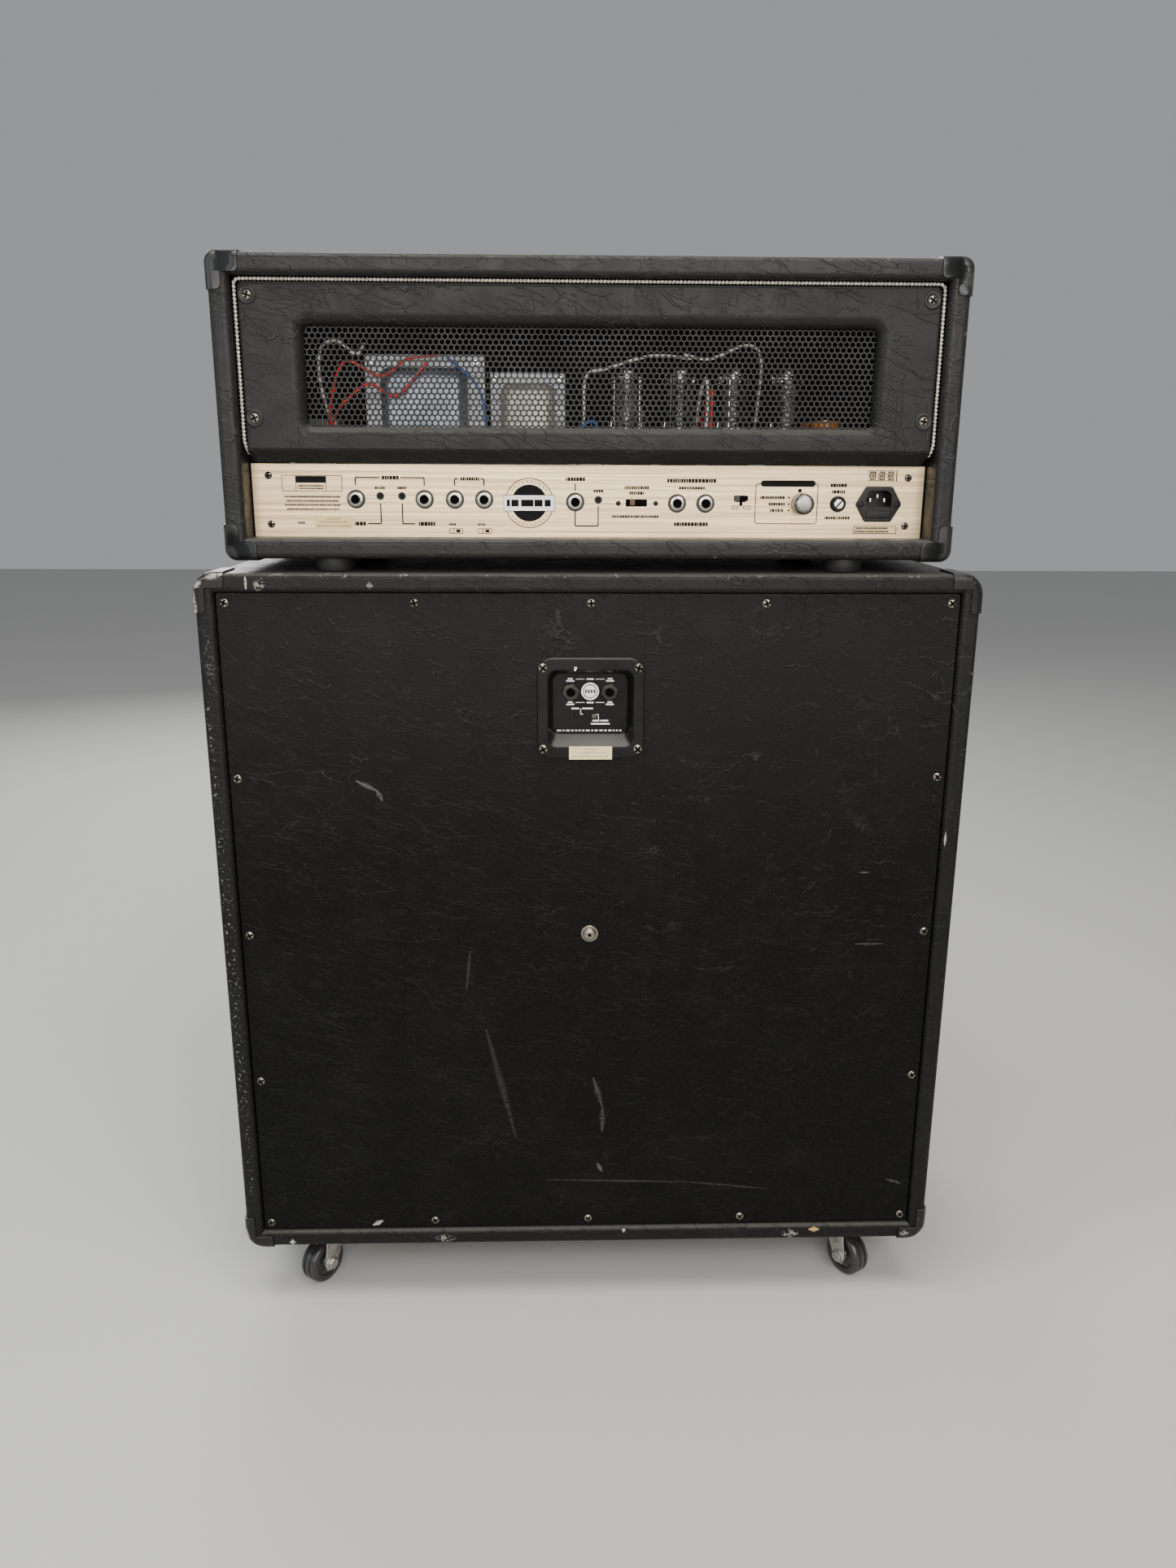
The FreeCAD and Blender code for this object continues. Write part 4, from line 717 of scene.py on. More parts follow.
def rim_marks(marks):
    """Marks on the cabinet's rear rim, worn ones and a painted ledge highlight: start and end (x, z), width,
    strength, sparseness.
    """
    y = CAB_HIGH.y * MM
    return [((x1 * MM, y, z1 * MM), (x2 * MM, y, z2 * MM), width * MM, *rest)
            for (x1, z1), (x2, z2), width, *rest in marks]


SILL, LINTEL = PANEL_LOW.z, PANEL_HIGH.z
# The cabinet vinyl is painted a little lighter towards its top: painted top light.
CAB_TOLEX = tolex("cab_tolex", edge_wear=rim_wear(CAB_LOW, CAB_HIGH), tone=0.45, gloss=0.16,
                  painted_top_light=0.6, scuffs=rim_marks((
    ((330, 800), (330, 815), 1.4, 0.95, 0.36),
    ((320, 800), (315, 810), 6, 0.6, 0.52),
    ((215, 805), (210, 805), 4, 0.35, 0.50),
    # The sill line is partly worn vinyl and partly a painted highlight where the lower ledge catches light from
    # above.
    ((345, SILL), (-350, SILL), 2.2, 0.75, 0.10),
    ((350, LINTEL), (-350, LINTEL), 1.6, 0.20, 0.20),
    ((170, 80), (150, 80), 6, 0.45, 0.54),
    ((-40, 90), (-40, 85), 2.5, 0.9, 0.36),
    ((-220, 80), (-235, 80), 7, 0.5, 0.54),
    ((-250, 85), (-260, 85), 3.5, 0.9, 0.30, (0.50, 0.34, 0.14)),
    ((330, 80), (330, 75), 4, 0.9, 0.42),
    ((370, 755), (370, 705), 6, 0.14, 0.60),
    ((375, 690), (370, 130), 8, 0.40, 0.66),
    ((-365, 555), (-365, 540), 1.6, 0.7, 0.36))))
HEAD_TOLEX = tolex("head_tolex", edge_wear=rim_wear(HEAD_LOW, HEAD_HIGH), tone=1.1,
                   gloss=0.2)
# The dust shares of these plastics paint their upward faces paler: settled dust and a painted highlight from
# overhead light.
BLACK_PLASTIC = plain("corner_plastic", (0.011, 0.011, 0.011), 0.36, tint=0.3, dust=0.10)
EDGE_X, EDGE_Z = CAB_HIGH.x, CAB_HIGH.z
GUARD_PLASTIC = plain("guard_plastic", (0.009, 0.009, 0.009), 0.38, tint=0.3, dust=0.2,
                      specular_ior_level=0.3, scuffs=rim_marks((
    ((EDGE_X - 30, EDGE_Z), (EDGE_X - 10, EDGE_Z - 5), 3.5, 0.8, 0.44),
    ((EDGE_X - 10, EDGE_Z - 5), (EDGE_X, EDGE_Z - 15), 3.5, 0.8, 0.44),
    ((EDGE_X, EDGE_Z - 15), (EDGE_X, EDGE_Z - 50), 3.5, 0.8, 0.48),
    ((EDGE_X, 95), (EDGE_X, 80), 3.5, 0.8, 0.44),
    ((-350, 80), (-365, 80), 4, 0.9, 0.50),
    ((-370, 90), (-375, 105), 2, 0.6, 0.44))))
# The large dust share paints the dish's upward slopes a pale warm grey: partly dust, partly a painted highlight of
# overhead light.
DISH_PLASTIC = plain("dish_plastic", (0.006, 0.006, 0.006), 0.34, tint=0.2, dust=0.50,
                     specular_ior_level=0.2)
SCREW = plain("worn_screw", (0.30, 0.27, 0.22), 0.34, 1.0, tint=0.5, depth=0.00006)
NICKEL = plain("nickel", (0.62, 0.60, 0.56), 0.24, 1.0, tint=0.35, depth=0.00006)
CHROME = plain("chrome", (0.80, 0.80, 0.81), 0.10, 1.0, tint=0.15, spread=0.05, depth=0.00003)
KNOB_METAL = plain("knob_metal", (0.27, 0.265, 0.25), 0.20, 1.0, tint=0.5, depth=0.00003)
DARK_SCREW = plain("black_oxide", (0.016, 0.016, 0.016), 0.42, 0.3, tint=0.4,
                   specular_ior_level=0.3)
JACK_BLACK = plain("jack_black", (0.050, 0.045, 0.040), 0.30, 0.6, tint=0.3)
# Near-black for holes, slots and recess floors: painted shade where light does not reach.
PAINTED_HOLE_SHADE = plain("hole_shade_black", (0.002, 0.002, 0.002), 0.8, tint=0.3,
                   specular_ior_level=0.05)
PRINT_BLACK = plain("printed_black", (0.005, 0.005, 0.005), 0.6, tint=0.2,
                    specular_ior_level=0.08)
PRINT_WHITE = plain("printed_white", (0.92, 0.92, 0.89), 0.5, tint=0.08)
LABEL = plain("paper_label", (0.74, 0.60, 0.34), 0.6, tint=0.18)
FADED_INK = plain("faded_ink", (0.38, 0.31, 0.19), 0.6, tint=0.3)
SATIN_BLACK = plain("satin_black", (0.016, 0.016, 0.017), 0.4, 0.3, tint=0.3)
RUBBER = plain("moulded_rubber", (0.011, 0.011, 0.011), 0.62, grain=500, depth=0.0003)
STEEL = worn_steel("zinc_steel")
# The plate's yellow-beige tone is mostly painted warm light; the rest is the metal's own slightly warm colour.
ALUMINIUM = brushed("brushed_plate", (0.74, 0.58, 0.37), 0.36)


# ------------------------------------------------------------------ small hardware
def phillips(radius, height, cup=0.0, ink=None):
    """Pan-head screw with a cross recess, its floor shaded, standing on z = 0."""
    steps = 48
    slot_half = radius * 0.17
    reach = radius * 0.64
    rings = []
    for share, rise in ((1.0, 0.0), (1.0, 0.18), (0.93, 0.52), (0.78, 0.80), (0.60, 0.95),
                        (0.44, 1.0), (0.30, 1.02), (0.16, 1.03)):
        ring = []
        for step in range(steps):
            angle = TAU * step / steps
            x = radius * share * math.cos(angle)
            y = radius * share * math.sin(angle)
            inside = min(abs(x), abs(y)) < slot_half and max(abs(x), abs(y)) < reach
            ring.append((x, y, height * rise - (height * 0.9 if inside else 0)))
        rings.append(ring)
    shape = Shape().skin(rings)
    # The ink bricks darken the floor of the cross recess: painted shade.
    if ink is not None:
        for long, short in ((reach, slot_half), (slot_half, reach)):
            shape.join(brick((-long, -short, height * 0.2), (long, short, height * 0.62), 0.05),
                       mark=ink)
    if cup:
        shape.join(turned([(cup, 0), (cup, 0.5), (cup * 0.93, 1.1), (cup * 0.80, 1.35),
                           (radius * 1.02, 0.75), (radius * 0.9, 0.2)], 40), mark=1)
    return shape


def scattered(template, spots):
    """Copies of a screw facing +Y, each turned by its own angle."""
    shape = Shape()
    for spot in spots:
        shape.join(template, facing(spot) @ Matrix.Rotation(random.uniform(0, TAU), 4, "Z"))
    return shape


def thread(radius, low, high):
    """Profile of a threaded bush between two heights."""
    pitch, depth = 0.8, 0.35
    points = []
    level = low
    while level < high - pitch:
        points.extend([(radius, level), (radius - depth, level + pitch / 2)])
        level += pitch
    points.append((radius - 0.1, high - 0.3))
    points.append((radius - 0.7, high))
    return points


def jack_front(nut="ring"):
    """Quarter-inch socket: nut (ring or hex), threaded bush and dark bore.

    Material numbers: 0 nut and bush, 1 washer, 2 bore."""
    shape = Shape()
    if nut == "ring":
        shape.join(turned([(9.0, 0), (9.0, 0.5), (8.7, 0.8), (7.0, 0.8), (7.0, 0)], 40,
                          bored=True), mark=1)
        shape.join(turned([(7.5, 0.7), (7.6, 2.4), (7.2, 3.2), (6.2, 3.7), (4.6, 3.7),
                           (4.6, 0.7)], 60, lobes=30, depth=0.35, span=(0.6, 2.5), bored=True))
    else:
        shape.skin(hex_rings(((9.0, 0.0), (9.3, 0.4), (9.3, 3.4), (8.6, 4.2), (4.6, 4.4)), 48),
                   caps=(False, False))
    bush = thread(4.65, 0.5, 6.4) + [(3.9, 6.6), (3.5, 6.5), (3.3, 6.0)]
    shape.join(turned(bush + [(3.3, 1.2), (3.2, 0.4)], 36, bored=True))
    # The black ring at the mouth and the near-black bore are painted shade in the socket's hole.
    shape.join(turned([(4.35, 5.6), (4.35, 6.85), (4.1, 6.95), (3.35, 6.75), (3.3, 5.6)], 30,
                      bored=True), mark=2)
    shape.join(turned([(3.28, 5.2), (3.28, -16), (0, -16), (0, -16.2), (3.6, -16.2),
                       (3.6, 1.0)], 24), mark=2)
    return shape


# ------------------------------------------------------------------ cabinet outside
def build_cabinet_case():
    """Vinyl on the box, and a separate rear panel with its own scratches."""
    repaint("cab_shell", CAB_TOLEX)
    face = PANEL_Y * MM
    scratches = []
    for strength, width, path in (
            (0.15, 3.0, ((235, 610), (215, 600), (210, 590))),
            (0.05, 2.0, ((125, 425), (130, 380))),
            (0.040, 4.2, ((110, 335), (80, 205))),
            (0.08, 3.4, ((-5, 275), (-15, 240), (-15, 210))),
            (0.15, 2.8, ((-10, 170), (-15, 160))),
            (0.05, 1.8, ((45, 150), (-110, 145), (-200, 135))),
            (0.95, 3.2, ((240, 95), (230, 100))),
            (0.10, 2.6, ((-335, 145), (-350, 140))),
            (0.08, 1.6, ((-280, 430), (-310, 430))),
            (0.12, 1.4, ((-280, 510), (-290, 510)))):
        for (x1, z1), (x2, z2) in zip(path, path[1:]):
            scratches.append(((x1 * MM, face, z1 * MM), (x2 * MM, face, z2 * MM), width * MM,
                              strength, 0.42))
    # The rear panel is painted much lighter towards its top: a strong painted top light, as if lit from above.
    look = tolex("panel_tolex", scuffs=scratches, tone=0.16, gloss=0.10, painted_top_light=4.0)
    centre = (0, (PANEL_LOW.z + PANEL_HIGH.z) / 2)
    outline = rect_loop(centre, PANEL_HIGH.x - PANEL_LOW.x, PANEL_HIGH.z - PANEL_LOW.z, 2.5, 4)
    opening = rect_loop((0, DISH_Z), 88, 80, 6, 4, hole=True)
    shape = slab([outline, opening], PANEL_LOW.y, PANEL_Y, 0.9, 0.6)
    piece("cab_rear_panel", shape, look, "cabinet", ["cab_back_panel"])


def build_guards(name, low, high, sizes, corner, rim, body, replaced):
    """Moulded protectors: a skin over each corner with an L on the end faces."""
    wide, thin, tall, slim, deep, lobe = sizes
    skin = 2.0
    full = rounded_cuboid((-skin, -skin, -skin), (150, 150, 150), corner + skin, rim + skin)
    core = rounded_cuboid((0, 0, 0), (160, 160, 160), corner, rim)
    zone = Shape()
    for reach_x, reach_z in ((wide, thin), (slim, tall)):
        outline = soft_corners([(-9, -9), (reach_x, -9), (reach_x, reach_z), (-9, reach_z)],
                               lobe, 4)
        zone.skin([at(outline, -9), at(outline, deep)])
    guard = carve(full, [(core, "DIFFERENCE"), (zone, "INTERSECT")])
    shape = Shape()
    for sides in itertools.product((-1, 1), repeat=3):
        origin = Vector([one if side > 0 else two for side, one, two in zip(sides, low, high)])
        shape.join(guard, Matrix.Translation(origin) @ Matrix.Diagonal((*sides, 1)))
    look = GUARD_PLASTIC if body == "cabinet" else BLACK_PLASTIC
    piece(name, shape, look, body, [replaced], smooth=40)


def rounded_cuboid(low, high, corner, rim):
    """Box whose four edges along Y have a large radius and whose end rims a small one."""
    centre = ((low[0] + high[0]) / 2, (low[2] + high[2]) / 2)
    loop = rect_loop(centre, high[0] - low[0], high[2] - low[2], corner, 8)
    return slab([loop], low[1], high[1], rim, rim, 5)


def as_object(shape):
    """Passing object for the booleans; its units are millimetres."""
    mesh = bpy.data.meshes.new("carving")
    mesh.from_pydata(shape.verts, [], shape.faces)
    clean(mesh, 1e-4)
    thing = bpy.data.objects.new("carving", mesh)
    bpy.context.scene.collection.objects.link(thing)
    return thing


def carve(base, steps):
    """Cuts a shape with others in turn, softens the new edges and returns the result."""
    thing = as_object(base)
    tools = [as_object(shape) for shape, _ in steps]
    for tool, (_, how) in zip(tools, steps):
        modifier = thing.modifiers.new("cut", "BOOLEAN")
        modifier.object = tool
        modifier.operation = how
        modifier.solver = "EXACT"
        modifier.use_self = True
    bevel = thing.modifiers.new("soften", "BEVEL")
    bevel.width = 0.5
    bevel.segments = 2
    bevel.limit_method = "ANGLE"
    bevel.angle_limit = math.radians(50)
    bevel.use_clamp_overlap = True
    graph = bpy.context.evaluated_depsgraph_get()
    mesh = bpy.data.meshes.new_from_object(thing.evaluated_get(graph))
    result = Shape().add([vert.co for vert in mesh.vertices],
                         [face.vertices for face in mesh.polygons])
    for extra in [thing] + tools:
        bpy.data.objects.remove(extra)
    bpy.data.meshes.remove(mesh)
    return result


def frame_loop(node, inset, radius, gap):
    """Evenly spaced points round a node's outline in the XZ plane, at its middle depth."""
    low, high = extent(node)
    middle = (low + high) / 2
    outline = rounded((middle.x, middle.z), high.x - low.x - 2 * inset,
                      high.z - low.z - 2 * inset, radius, 6)
    return spaced(at(outline, middle.y), gap, closed=True)


def build_cab_screws():
    """Panel screws, the centre bolt, the dish screws and the caster plates' round heads."""
    middle = (CAB_LOW.z + CAB_HIGH.z) / 2
    spots = [(x, PANEL_Y, middle + row * 344) for row in (-1, 1)
             for x in (-353, -171, 0, 171, 353)]
    spots += [(x, PANEL_Y, middle + row * 168.5) for row in (-1, 0, 1) for x in (-353, 353)]
    shape = scattered(phillips(4.5, 1.7, ink=1), spots)
    shape.join(scattered(phillips(4.8, 2.2, ink=1),
                         [(sx * 47.2, DISH_HIGH.y, DISH_Z + sz * 41) for sx, sz in CORNERS]))
    spot = facing((0, PANEL_Y, middle))
    shape.join(turned([(9.2, 0), (9.2, 0.8), (8.6, 1.4), (7.3, 1.5), (7.0, 1.6), (6.6, 3.2),
                       (5.4, 4.3), (3.6, 4.9), (1.9, 5.0), (1.9, 3.2), (0, 3.2)], 40), spot)
    # The dark ring at the foot of the dome and the dark dot in its top recess are painted shade.
    shape.join(turned([(6.9, 1.4), (6.9, 1.9), (6.2, 1.9), (6.2, 1.4)], 40, bored=True), spot,
               mark=1)
    shape.join(turned([(1.8, 3.0), (1.8, 3.6), (0, 3.6)], 20), spot, mark=1)
    button = turned([(4.5, 0), (4.5, -0.7), (3.6, -1.7), (2.0, -2.0), (0, -2.0)], 20)
    for (sx, sy), (px, py) in itertools.product(CORNERS, CORNERS):
        shape.join(button, upright((sx * CASTER_X + px * 23, sy * CASTER_Y + py * 23, 69)))
    piece("cab_screw_set", shape, [SCREW, PAINTED_HOLE_SHADE], "cabinet", ["cab_screws"])


def build_jack_dish():
    """Moulded plate with a soft-cornered well, printed lines, two jacks and a slide switch."""
    face = DISH_HIGH.y
    z = DISH_Z
    well = face - 24.5
    jack_z = z + 13
    rim = rect_loop((0, z), DISH_HIGH.x - DISH_LOW.x, DISH_HIGH.z - DISH_LOW.z, 16, 8)
    mouth = rect_loop((0, z), 84, 76, 8, 8, hole=True)
    shape = slab([rim, mouth], face - 2.5, face, 1.4, 0, 4)
    shape.skin([at(rounded((0, z), 84 - 9 * share, 76 - 14 * share, 8, 8),
                   well if share == 1 else face - 1.5 - (face - 1.5 - well) * share)
                for share in [step / 10 for step in range(11)]], caps=(False, True))
    piece("cab_jack_dish_moulding", shape, DISH_PLASTIC, "cabinet",
          ["cab_jack_dish"])
    jacks = Shape()
    template = jack_front("hex")
    for x in (-19.5, 19.5):
        jacks.join(template, facing((x, well, jack_z)) @ Matrix.Rotation(0.26, 4, "Z"))
    piece("cab_input_jacks", jacks, [JACK_BLACK, JACK_BLACK, PAINTED_HOLE_SHADE], "cabinet",
          ["cab_jacks"])
    build_dish_prints(face, well, z, jack_z)
    tiny = scattered(phillips(2.4, 0.9), [(sx * 14, well, z - 12) for sx in (-1, 1)])
    piece("cab_switch_screws", tiny, DARK_SCREW, "cabinet")
    low, high = extent("stereo_slider")
    button = ribbed_button((low.x, well - 3, low.z + 1), (high.x, high.y, high.z - 1),
                           0.75, 3.5, 0.35, 0.15)
    look = plain("stereo_button", (0.11, 0.10, 0.085), 0.42, 0.2, tint=0.4)
    piece("stereo_switch_button", button, look, "stereo_switch",
          ["stereo_slider"])


def build_dish_prints(face, well, z, jack_z):
    """Bracket lines and strokes in the well, a round badge and a paper label, all wordless."""
    prints = Shape()

    def bar(x, rise, width, tall, depth=well):
        prints.join(brick((x - width / 2, depth - 0.2, z + rise - tall / 2),
                          (x + width / 2, depth + 0.06, z + rise + tall / 2), 0.04))

    for row in (25.5, 1.5):
        for sx in (-1, 1):
            bar(sx * 10, row, 9, 0.6)
            bar(sx * 20, row + 0.4, 5, 1.5)
            bar(sx * 20, row - 1.9, 8, 1.5)
        bar(0, row, 7, 1.5)
    for x, rise, width, tall in ((15, -4.6, 8, 1.6), (2.5, -4.6, 11, 1.6), (9.5, -7.6, 0.7, 6),
                                 (8.4, -10.4, 2.6, 0.7), (-8.6, -13.5, 0.7, 6),
                                 (-7.4, -10.8, 2.6, 0.7), (-6, -17.2, 7, 1.6),
                                 (-14.5, -17.2, 8, 1.6), (-10.5, -20.4, 19, 1.6)):
        bar(x, rise, width, tall)
    x = 33.5
    while x > -32:
        width = random.uniform(1.6, 4.4)
        bar(x - width / 2, -27.4, width, 1.5)
        x -= width + 1.5
    spot = facing((0, well, jack_z))
    prints.join(turned([(9, -0.2), (9, 0.15), (8.7, 0.3), (0, 0.3)], 40), spot)
    bar(15.6, 39.6, 2.0, 3.2, face)
    bar(15.2, 41.0, 2.8, 1.6, face)
    piece("cab_dish_prints", prints, PRINT_WHITE, "cabinet")
    mark = Shape().join(turned([(7.2, 0.2), (7.2, 0.42), (6.4, 0.42), (6.4, 0.2)], 40,
                               bored=True), spot)
    for x in (-4.2, -1.4, 1.4, 4.2):
        mark.join(brick((x - 0.8, well + 0.2, jack_z - 1.8),
                        (x + 0.8, well + 0.45, jack_z + 1.8), 0.2))
    piece("cab_dish_badge", mark, PRINT_BLACK, "cabinet")
    lines = Shape()
    for rise, reach in ((-41, 7), (-44.6, 13), (-48.4, 17)):
        x = reach
        while x > -reach:
            width = random.uniform(1.5, 4)
            lines.join(brick((x - width, face, z + rise - 0.6), (x, face + 0.2, z + rise + 0.6),
                             0.05))
            x -= width + 0.8
    label = brick((-21.5, face - 0.5, z - 51.6), (21.5, face + 0.15, z - 38.2), 0.1)
    piece("cab_label", label, LABEL, "cabinet")
    piece("cab_label_lines", lines, FADED_INK, "cabinet")


def ribbed_button(low, high, first, parts, rise, soft):
    """Button of a slide switch with three upright ribs."""
    shape = brick(low, high, 0.4)
    for index in range(3):
        x = low[0] + (high[0] - low[0]) * (index + first) / parts
        shape.join(brick((x, high[1] - 0.2, low[2] + 0.3),
                         (x + 0.6, high[1] + rise, high[2] - 0.3), soft))
    return shape


build_cabinet_case()
build_guards("cab_corner_set", CAB_LOW, CAB_HIGH, (29, 13.5, 37, 10, 45, 3), 20, 5, "cabinet",
             "cab_corners")
build_guards("head_corner_set", HEAD_LOW, HEAD_HIGH, (29, 17, 32, 13, 36, 5), 9, 6, "head",
             "head_corners")
build_cab_screws()
build_jack_dish()


# ------------------------------------------------------------------ casters
AXLE = (20, 25)  # trail behind the pivot and height of the wheel's centre


def polygon_plate(points, low_x, high_x):
    """Pressing cut from sheet: a YZ outline given thickness along X, with softened rims."""
    rim = 0.6
    centre = sum((Vector(point) for point in points), Vector((0, 0))) / len(points)
    rings = []
    for x, shrink in ((low_x, rim), (low_x + rim * 0.6, 0), (high_x - rim * 0.6, 0),
                      (high_x, rim)):
        ring = []
        for point in points:
            away = Vector(point) - centre
            ring.append((x, *(centre + away * (1 - shrink / max(away.length, 1)))))
        rings.append(ring)
    return Shape().skin(rings)


def caster_fork():
    """Bent steel fork trailing along +Y: two cheeks, a flanged top, bolt, nut and washers."""
    shape = Shape()
    side = soft_corners([(-13, 60), (-9, 63), (20, 63), (24, 60), (30, 27), (27.5, 18),
                         (23, 15.5), (17, 15.5), (12.5, 18), (10, 27), (0, 47)], 2.2, 4)
    side = [(y, max(z, 17.2)) for y, z in side]
    hub = turned([(8.2, 0), (8.2, 0.6), (7.4, 1.1), (4.2, 1.1)], 32)
    nut = Shape().skin(hex_rings(((6.6, 0.6), (6.9, 1.0), (6.9, 3.2), (6.0, 3.9), (0.2, 3.95)),
                                 36))
    for flank in (-1, 1):
        low_x, high_x = sorted((flank * 13.6, flank * 15.5))
        shape.join(polygon_plate(side, low_x, high_x))
        spot = (Matrix.Translation((flank * 15.4, *AXLE))
                @ Matrix.Rotation(math.radians(90 * flank), 4, "Y"))
        shape.join(hub, spot)
        shape.join(nut, spot, mark=1)
    shape.join(turned([(0, 60.2), (19, 60.2), (21.3, 60.5), (22, 61.2), (22, 62.0),
                       (21.3, 62.8), (18, 63), (13, 63), (0, 63)], 48))
    return shape.join(brick((-15.4, -12.5, 60.1), (15.4, 23.4, 62.9), 0.8))


def caster_wheel():
    """Moulded wheel with two tread grooves and a dished, ribbed hub."""
    profile = [(4.05, 11.5), (7.5, 11.5), (8.6, 10.6), (9.0, 9.2), (15.8, 8.6), (17.2, 10.4),
               (18.4, 10.6), (21.6, 10.5), (23.4, 9.6), (24.6, 8.0), (25.0, 6.2), (25.0, 4.6),
               (23.7, 4.4), (23.7, 3.1), (25.0, 2.9), (25.0, 0)]
    mirrored = [(radius, -height) for radius, height in reversed(profile[:-1])]
    shape = Shape().join(turned(profile + mirrored, 72, bored=True),
                         Matrix.Translation((0, *AXLE)) @ Matrix.Rotation(TAU / 4, 4, "Y"))
    rib = brick((-0.9, 0, 8.4), (0.9, 1, 16.2), 0.3)
    for flank in (-1, 1):
        for spoke in range(6):
            shape.join(rib, Matrix.Translation((flank * 8.9, *AXLE))
                       @ Matrix.Rotation(TAU * spoke / 6, 4, "X"))
    return shape


def build_casters():
    """Four forks and wheels at their headings, and the plates that hold them."""
    fork = caster_fork()
    wheel = caster_wheel()
    tyre = plain("caster_tread", (0.028, 0.027, 0.028), 0.30, grain=160, depth=0.0003, tint=0.45,
                 specular_ior_level=0.55)
    plate = brick((-31, -31, 69), (31, 31, 72), 1.0)
    plate.join(turned([(0, 63.2), (18.5, 63.2), (20, 64.2), (20, 65.8), (19.2, 66.3),
                       (19.2, 67.0), (20, 67.5), (20, 69.2), (0, 69.2)], 48))
    plate.join(turned([(0, 56.7), (5.0, 56.8), (7.4, 57.8), (8, 59.2), (8, 59.7), (0, 59.7)], 32))
    plate.join(turned([(5, 59.5), (5, 63.4), (0, 63.4)], 24))
    plates = Shape()
    for number in range(1, 5):
        axle = JOINTS["roll_%d" % number]["axis"]
        heading = math.degrees(math.atan2(axle[1], axle[0]))
        pivot = JOINTS["swivel_%d" % number]["pos_m"]
        spot = (pivot[0] / MM, pivot[1] / MM, 0)
        piece("caster_fork_shape_%d" % number, Shape().join(fork, upright(spot, heading)),
              [STEEL, NICKEL], "swivel_%d" % number, ["caster_fork_%d" % number])
        piece("caster_wheel_shape_%d" % number, Shape().join(wheel, upright(spot, heading)),
              tyre, "wheel_%d" % number, ["caster_wheel_%d" % number])
        plates.join(plate, upright(spot))
    piece("caster_plate_set", plates, STEEL, "cabinet", ["caster_plates"])


# ------------------------------------------------------------------ cabinet sides and front
def build_side_handles():
    """Dished plastic cups with a rounded flange, a grip bar and a screw in each corner."""
    middle = 520
    cup = Shape()
    cup.skin([[(x, y, z) for y, z in rounded((0, middle), width, height, radius, 7)]
              for x, width, height, radius in (
                  (0.0, 178, 120, 16), (1.0, 178, 120, 16), (1.7, 176.4, 118.4, 15.4),
                  (2.0, 173, 115, 14), (2.0, 152, 94, 12), (1.0, 147, 89, 10.5),
                  (-2.0, 146, 88, 10), (-30.0, 141, 83, 10), (-38.0, 137, 79, 10),
                  (-40.4, 128, 70, 8))], caps=(False, True))
    bar = []
    for y in range(-74, 75, 2):
        radius = 8.8 * (1 + 0.10 * (abs(y) / 74) ** 3)
        bar.append([(-10 + px, y, middle + 24.4 + pz)
                    for px, pz in arc((0, 0), radius, 0, 345, 23)])
    cup.skin(bar)
    screw = phillips(4.0, 1.6)
    shape = Shape()
    for side in (-1, 1):
        turn = Matrix.Rotation(0 if side > 0 else math.pi, 4, "Z")
        spot = Matrix.Translation((side * CAB_HIGH.x, 0, 0)) @ turn
        shape.join(cup, spot)
        for sy, sz in CORNERS:
            lift = Matrix.Translation((1.9, sy * 78, middle + sz * 49))
            spin = Matrix.Rotation(random.uniform(0, 3), 4, "Z")
            shape.join(screw, spot @ lift @ Matrix.Rotation(TAU / 4, 4, "Y") @ spin, mark=1)
    piece("cab_side_handle_set", shape, [BLACK_PLASTIC, NICKEL], "cabinet",
          ["cab_side_handles"])


def build_cloth(name, node, body, flat_look):
    """Speaker cloth pulled over its frame: flat in the middle and turned in at the rim."""
    low, high = extent(node)
    width = high.x - low.x
    height = high.z - low.z
    across = 60
    up = max(8, round(across * height / width))
    front = []
    for j in range(up + 1):
        for i in range(across + 1):
            u, v = i / across, j / up
            rim = min(min(u, 1 - u) * width, min(v, 1 - v) * height)
            fall = max(0.0, 1 - rim / 4.0)
            ripple = 0.012 * math.sin(9 * u + 3 * v) * math.sin(7 * v)
            front.append((low.x + width * u, low.y + 0.25 + 1.1 * fall * fall + ripple,
                          low.z + height * v))
    thick = 0.9
    back = [(x, y + thick, z) for x, y, z in front]
    count = across + 1
    far = len(front)
    faces = []
    for one in [j * count + i for j in range(up) for i in range(across)]:
        cell = (one, one + 1, one + count + 1, one + count)
        faces.append(cell)
        faces.append(tuple(index + far for index in reversed(cell)))
    border = (list(range(count)) + [j * count + across for j in range(1, up + 1)]
              + [up * count + i for i in range(across - 1, -1, -1)]
              + [j * count for j in range(up - 1, 0, -1)])
    for one, two in zip(border, border[1:] + border[:1]):
        faces.append((one, two, two + far, one + far))
    cloth = piece(name, Shape().add(front + back, faces), flat_look, body,
                  [node], smooth=60)


def cord_of(name, paths, body, replaced):
    """Silver and cream piping: two strands twisted round each other."""
    silver = Look("piping_" + name, (0.50, 0.48, 0.42), 0.5, 0.15)
    silver.paint(silver.blend(silver.remap(silver.noise(700, 2), 0.4, 0.6), (0.62, 0.60, 0.53),
                              (0.28, 0.26, 0.22)))
    silver.bump(silver.noise(1800, 2), 0.5, 0.0002)
    shape = Shape()
    for path, closed, radius in paths:
        shape.join(swept(path, radius, 10, closed, pitch=7.0, lobes=2, depth=radius * 0.45))
    piece(name, shape, silver, body, [replaced], smooth=50)


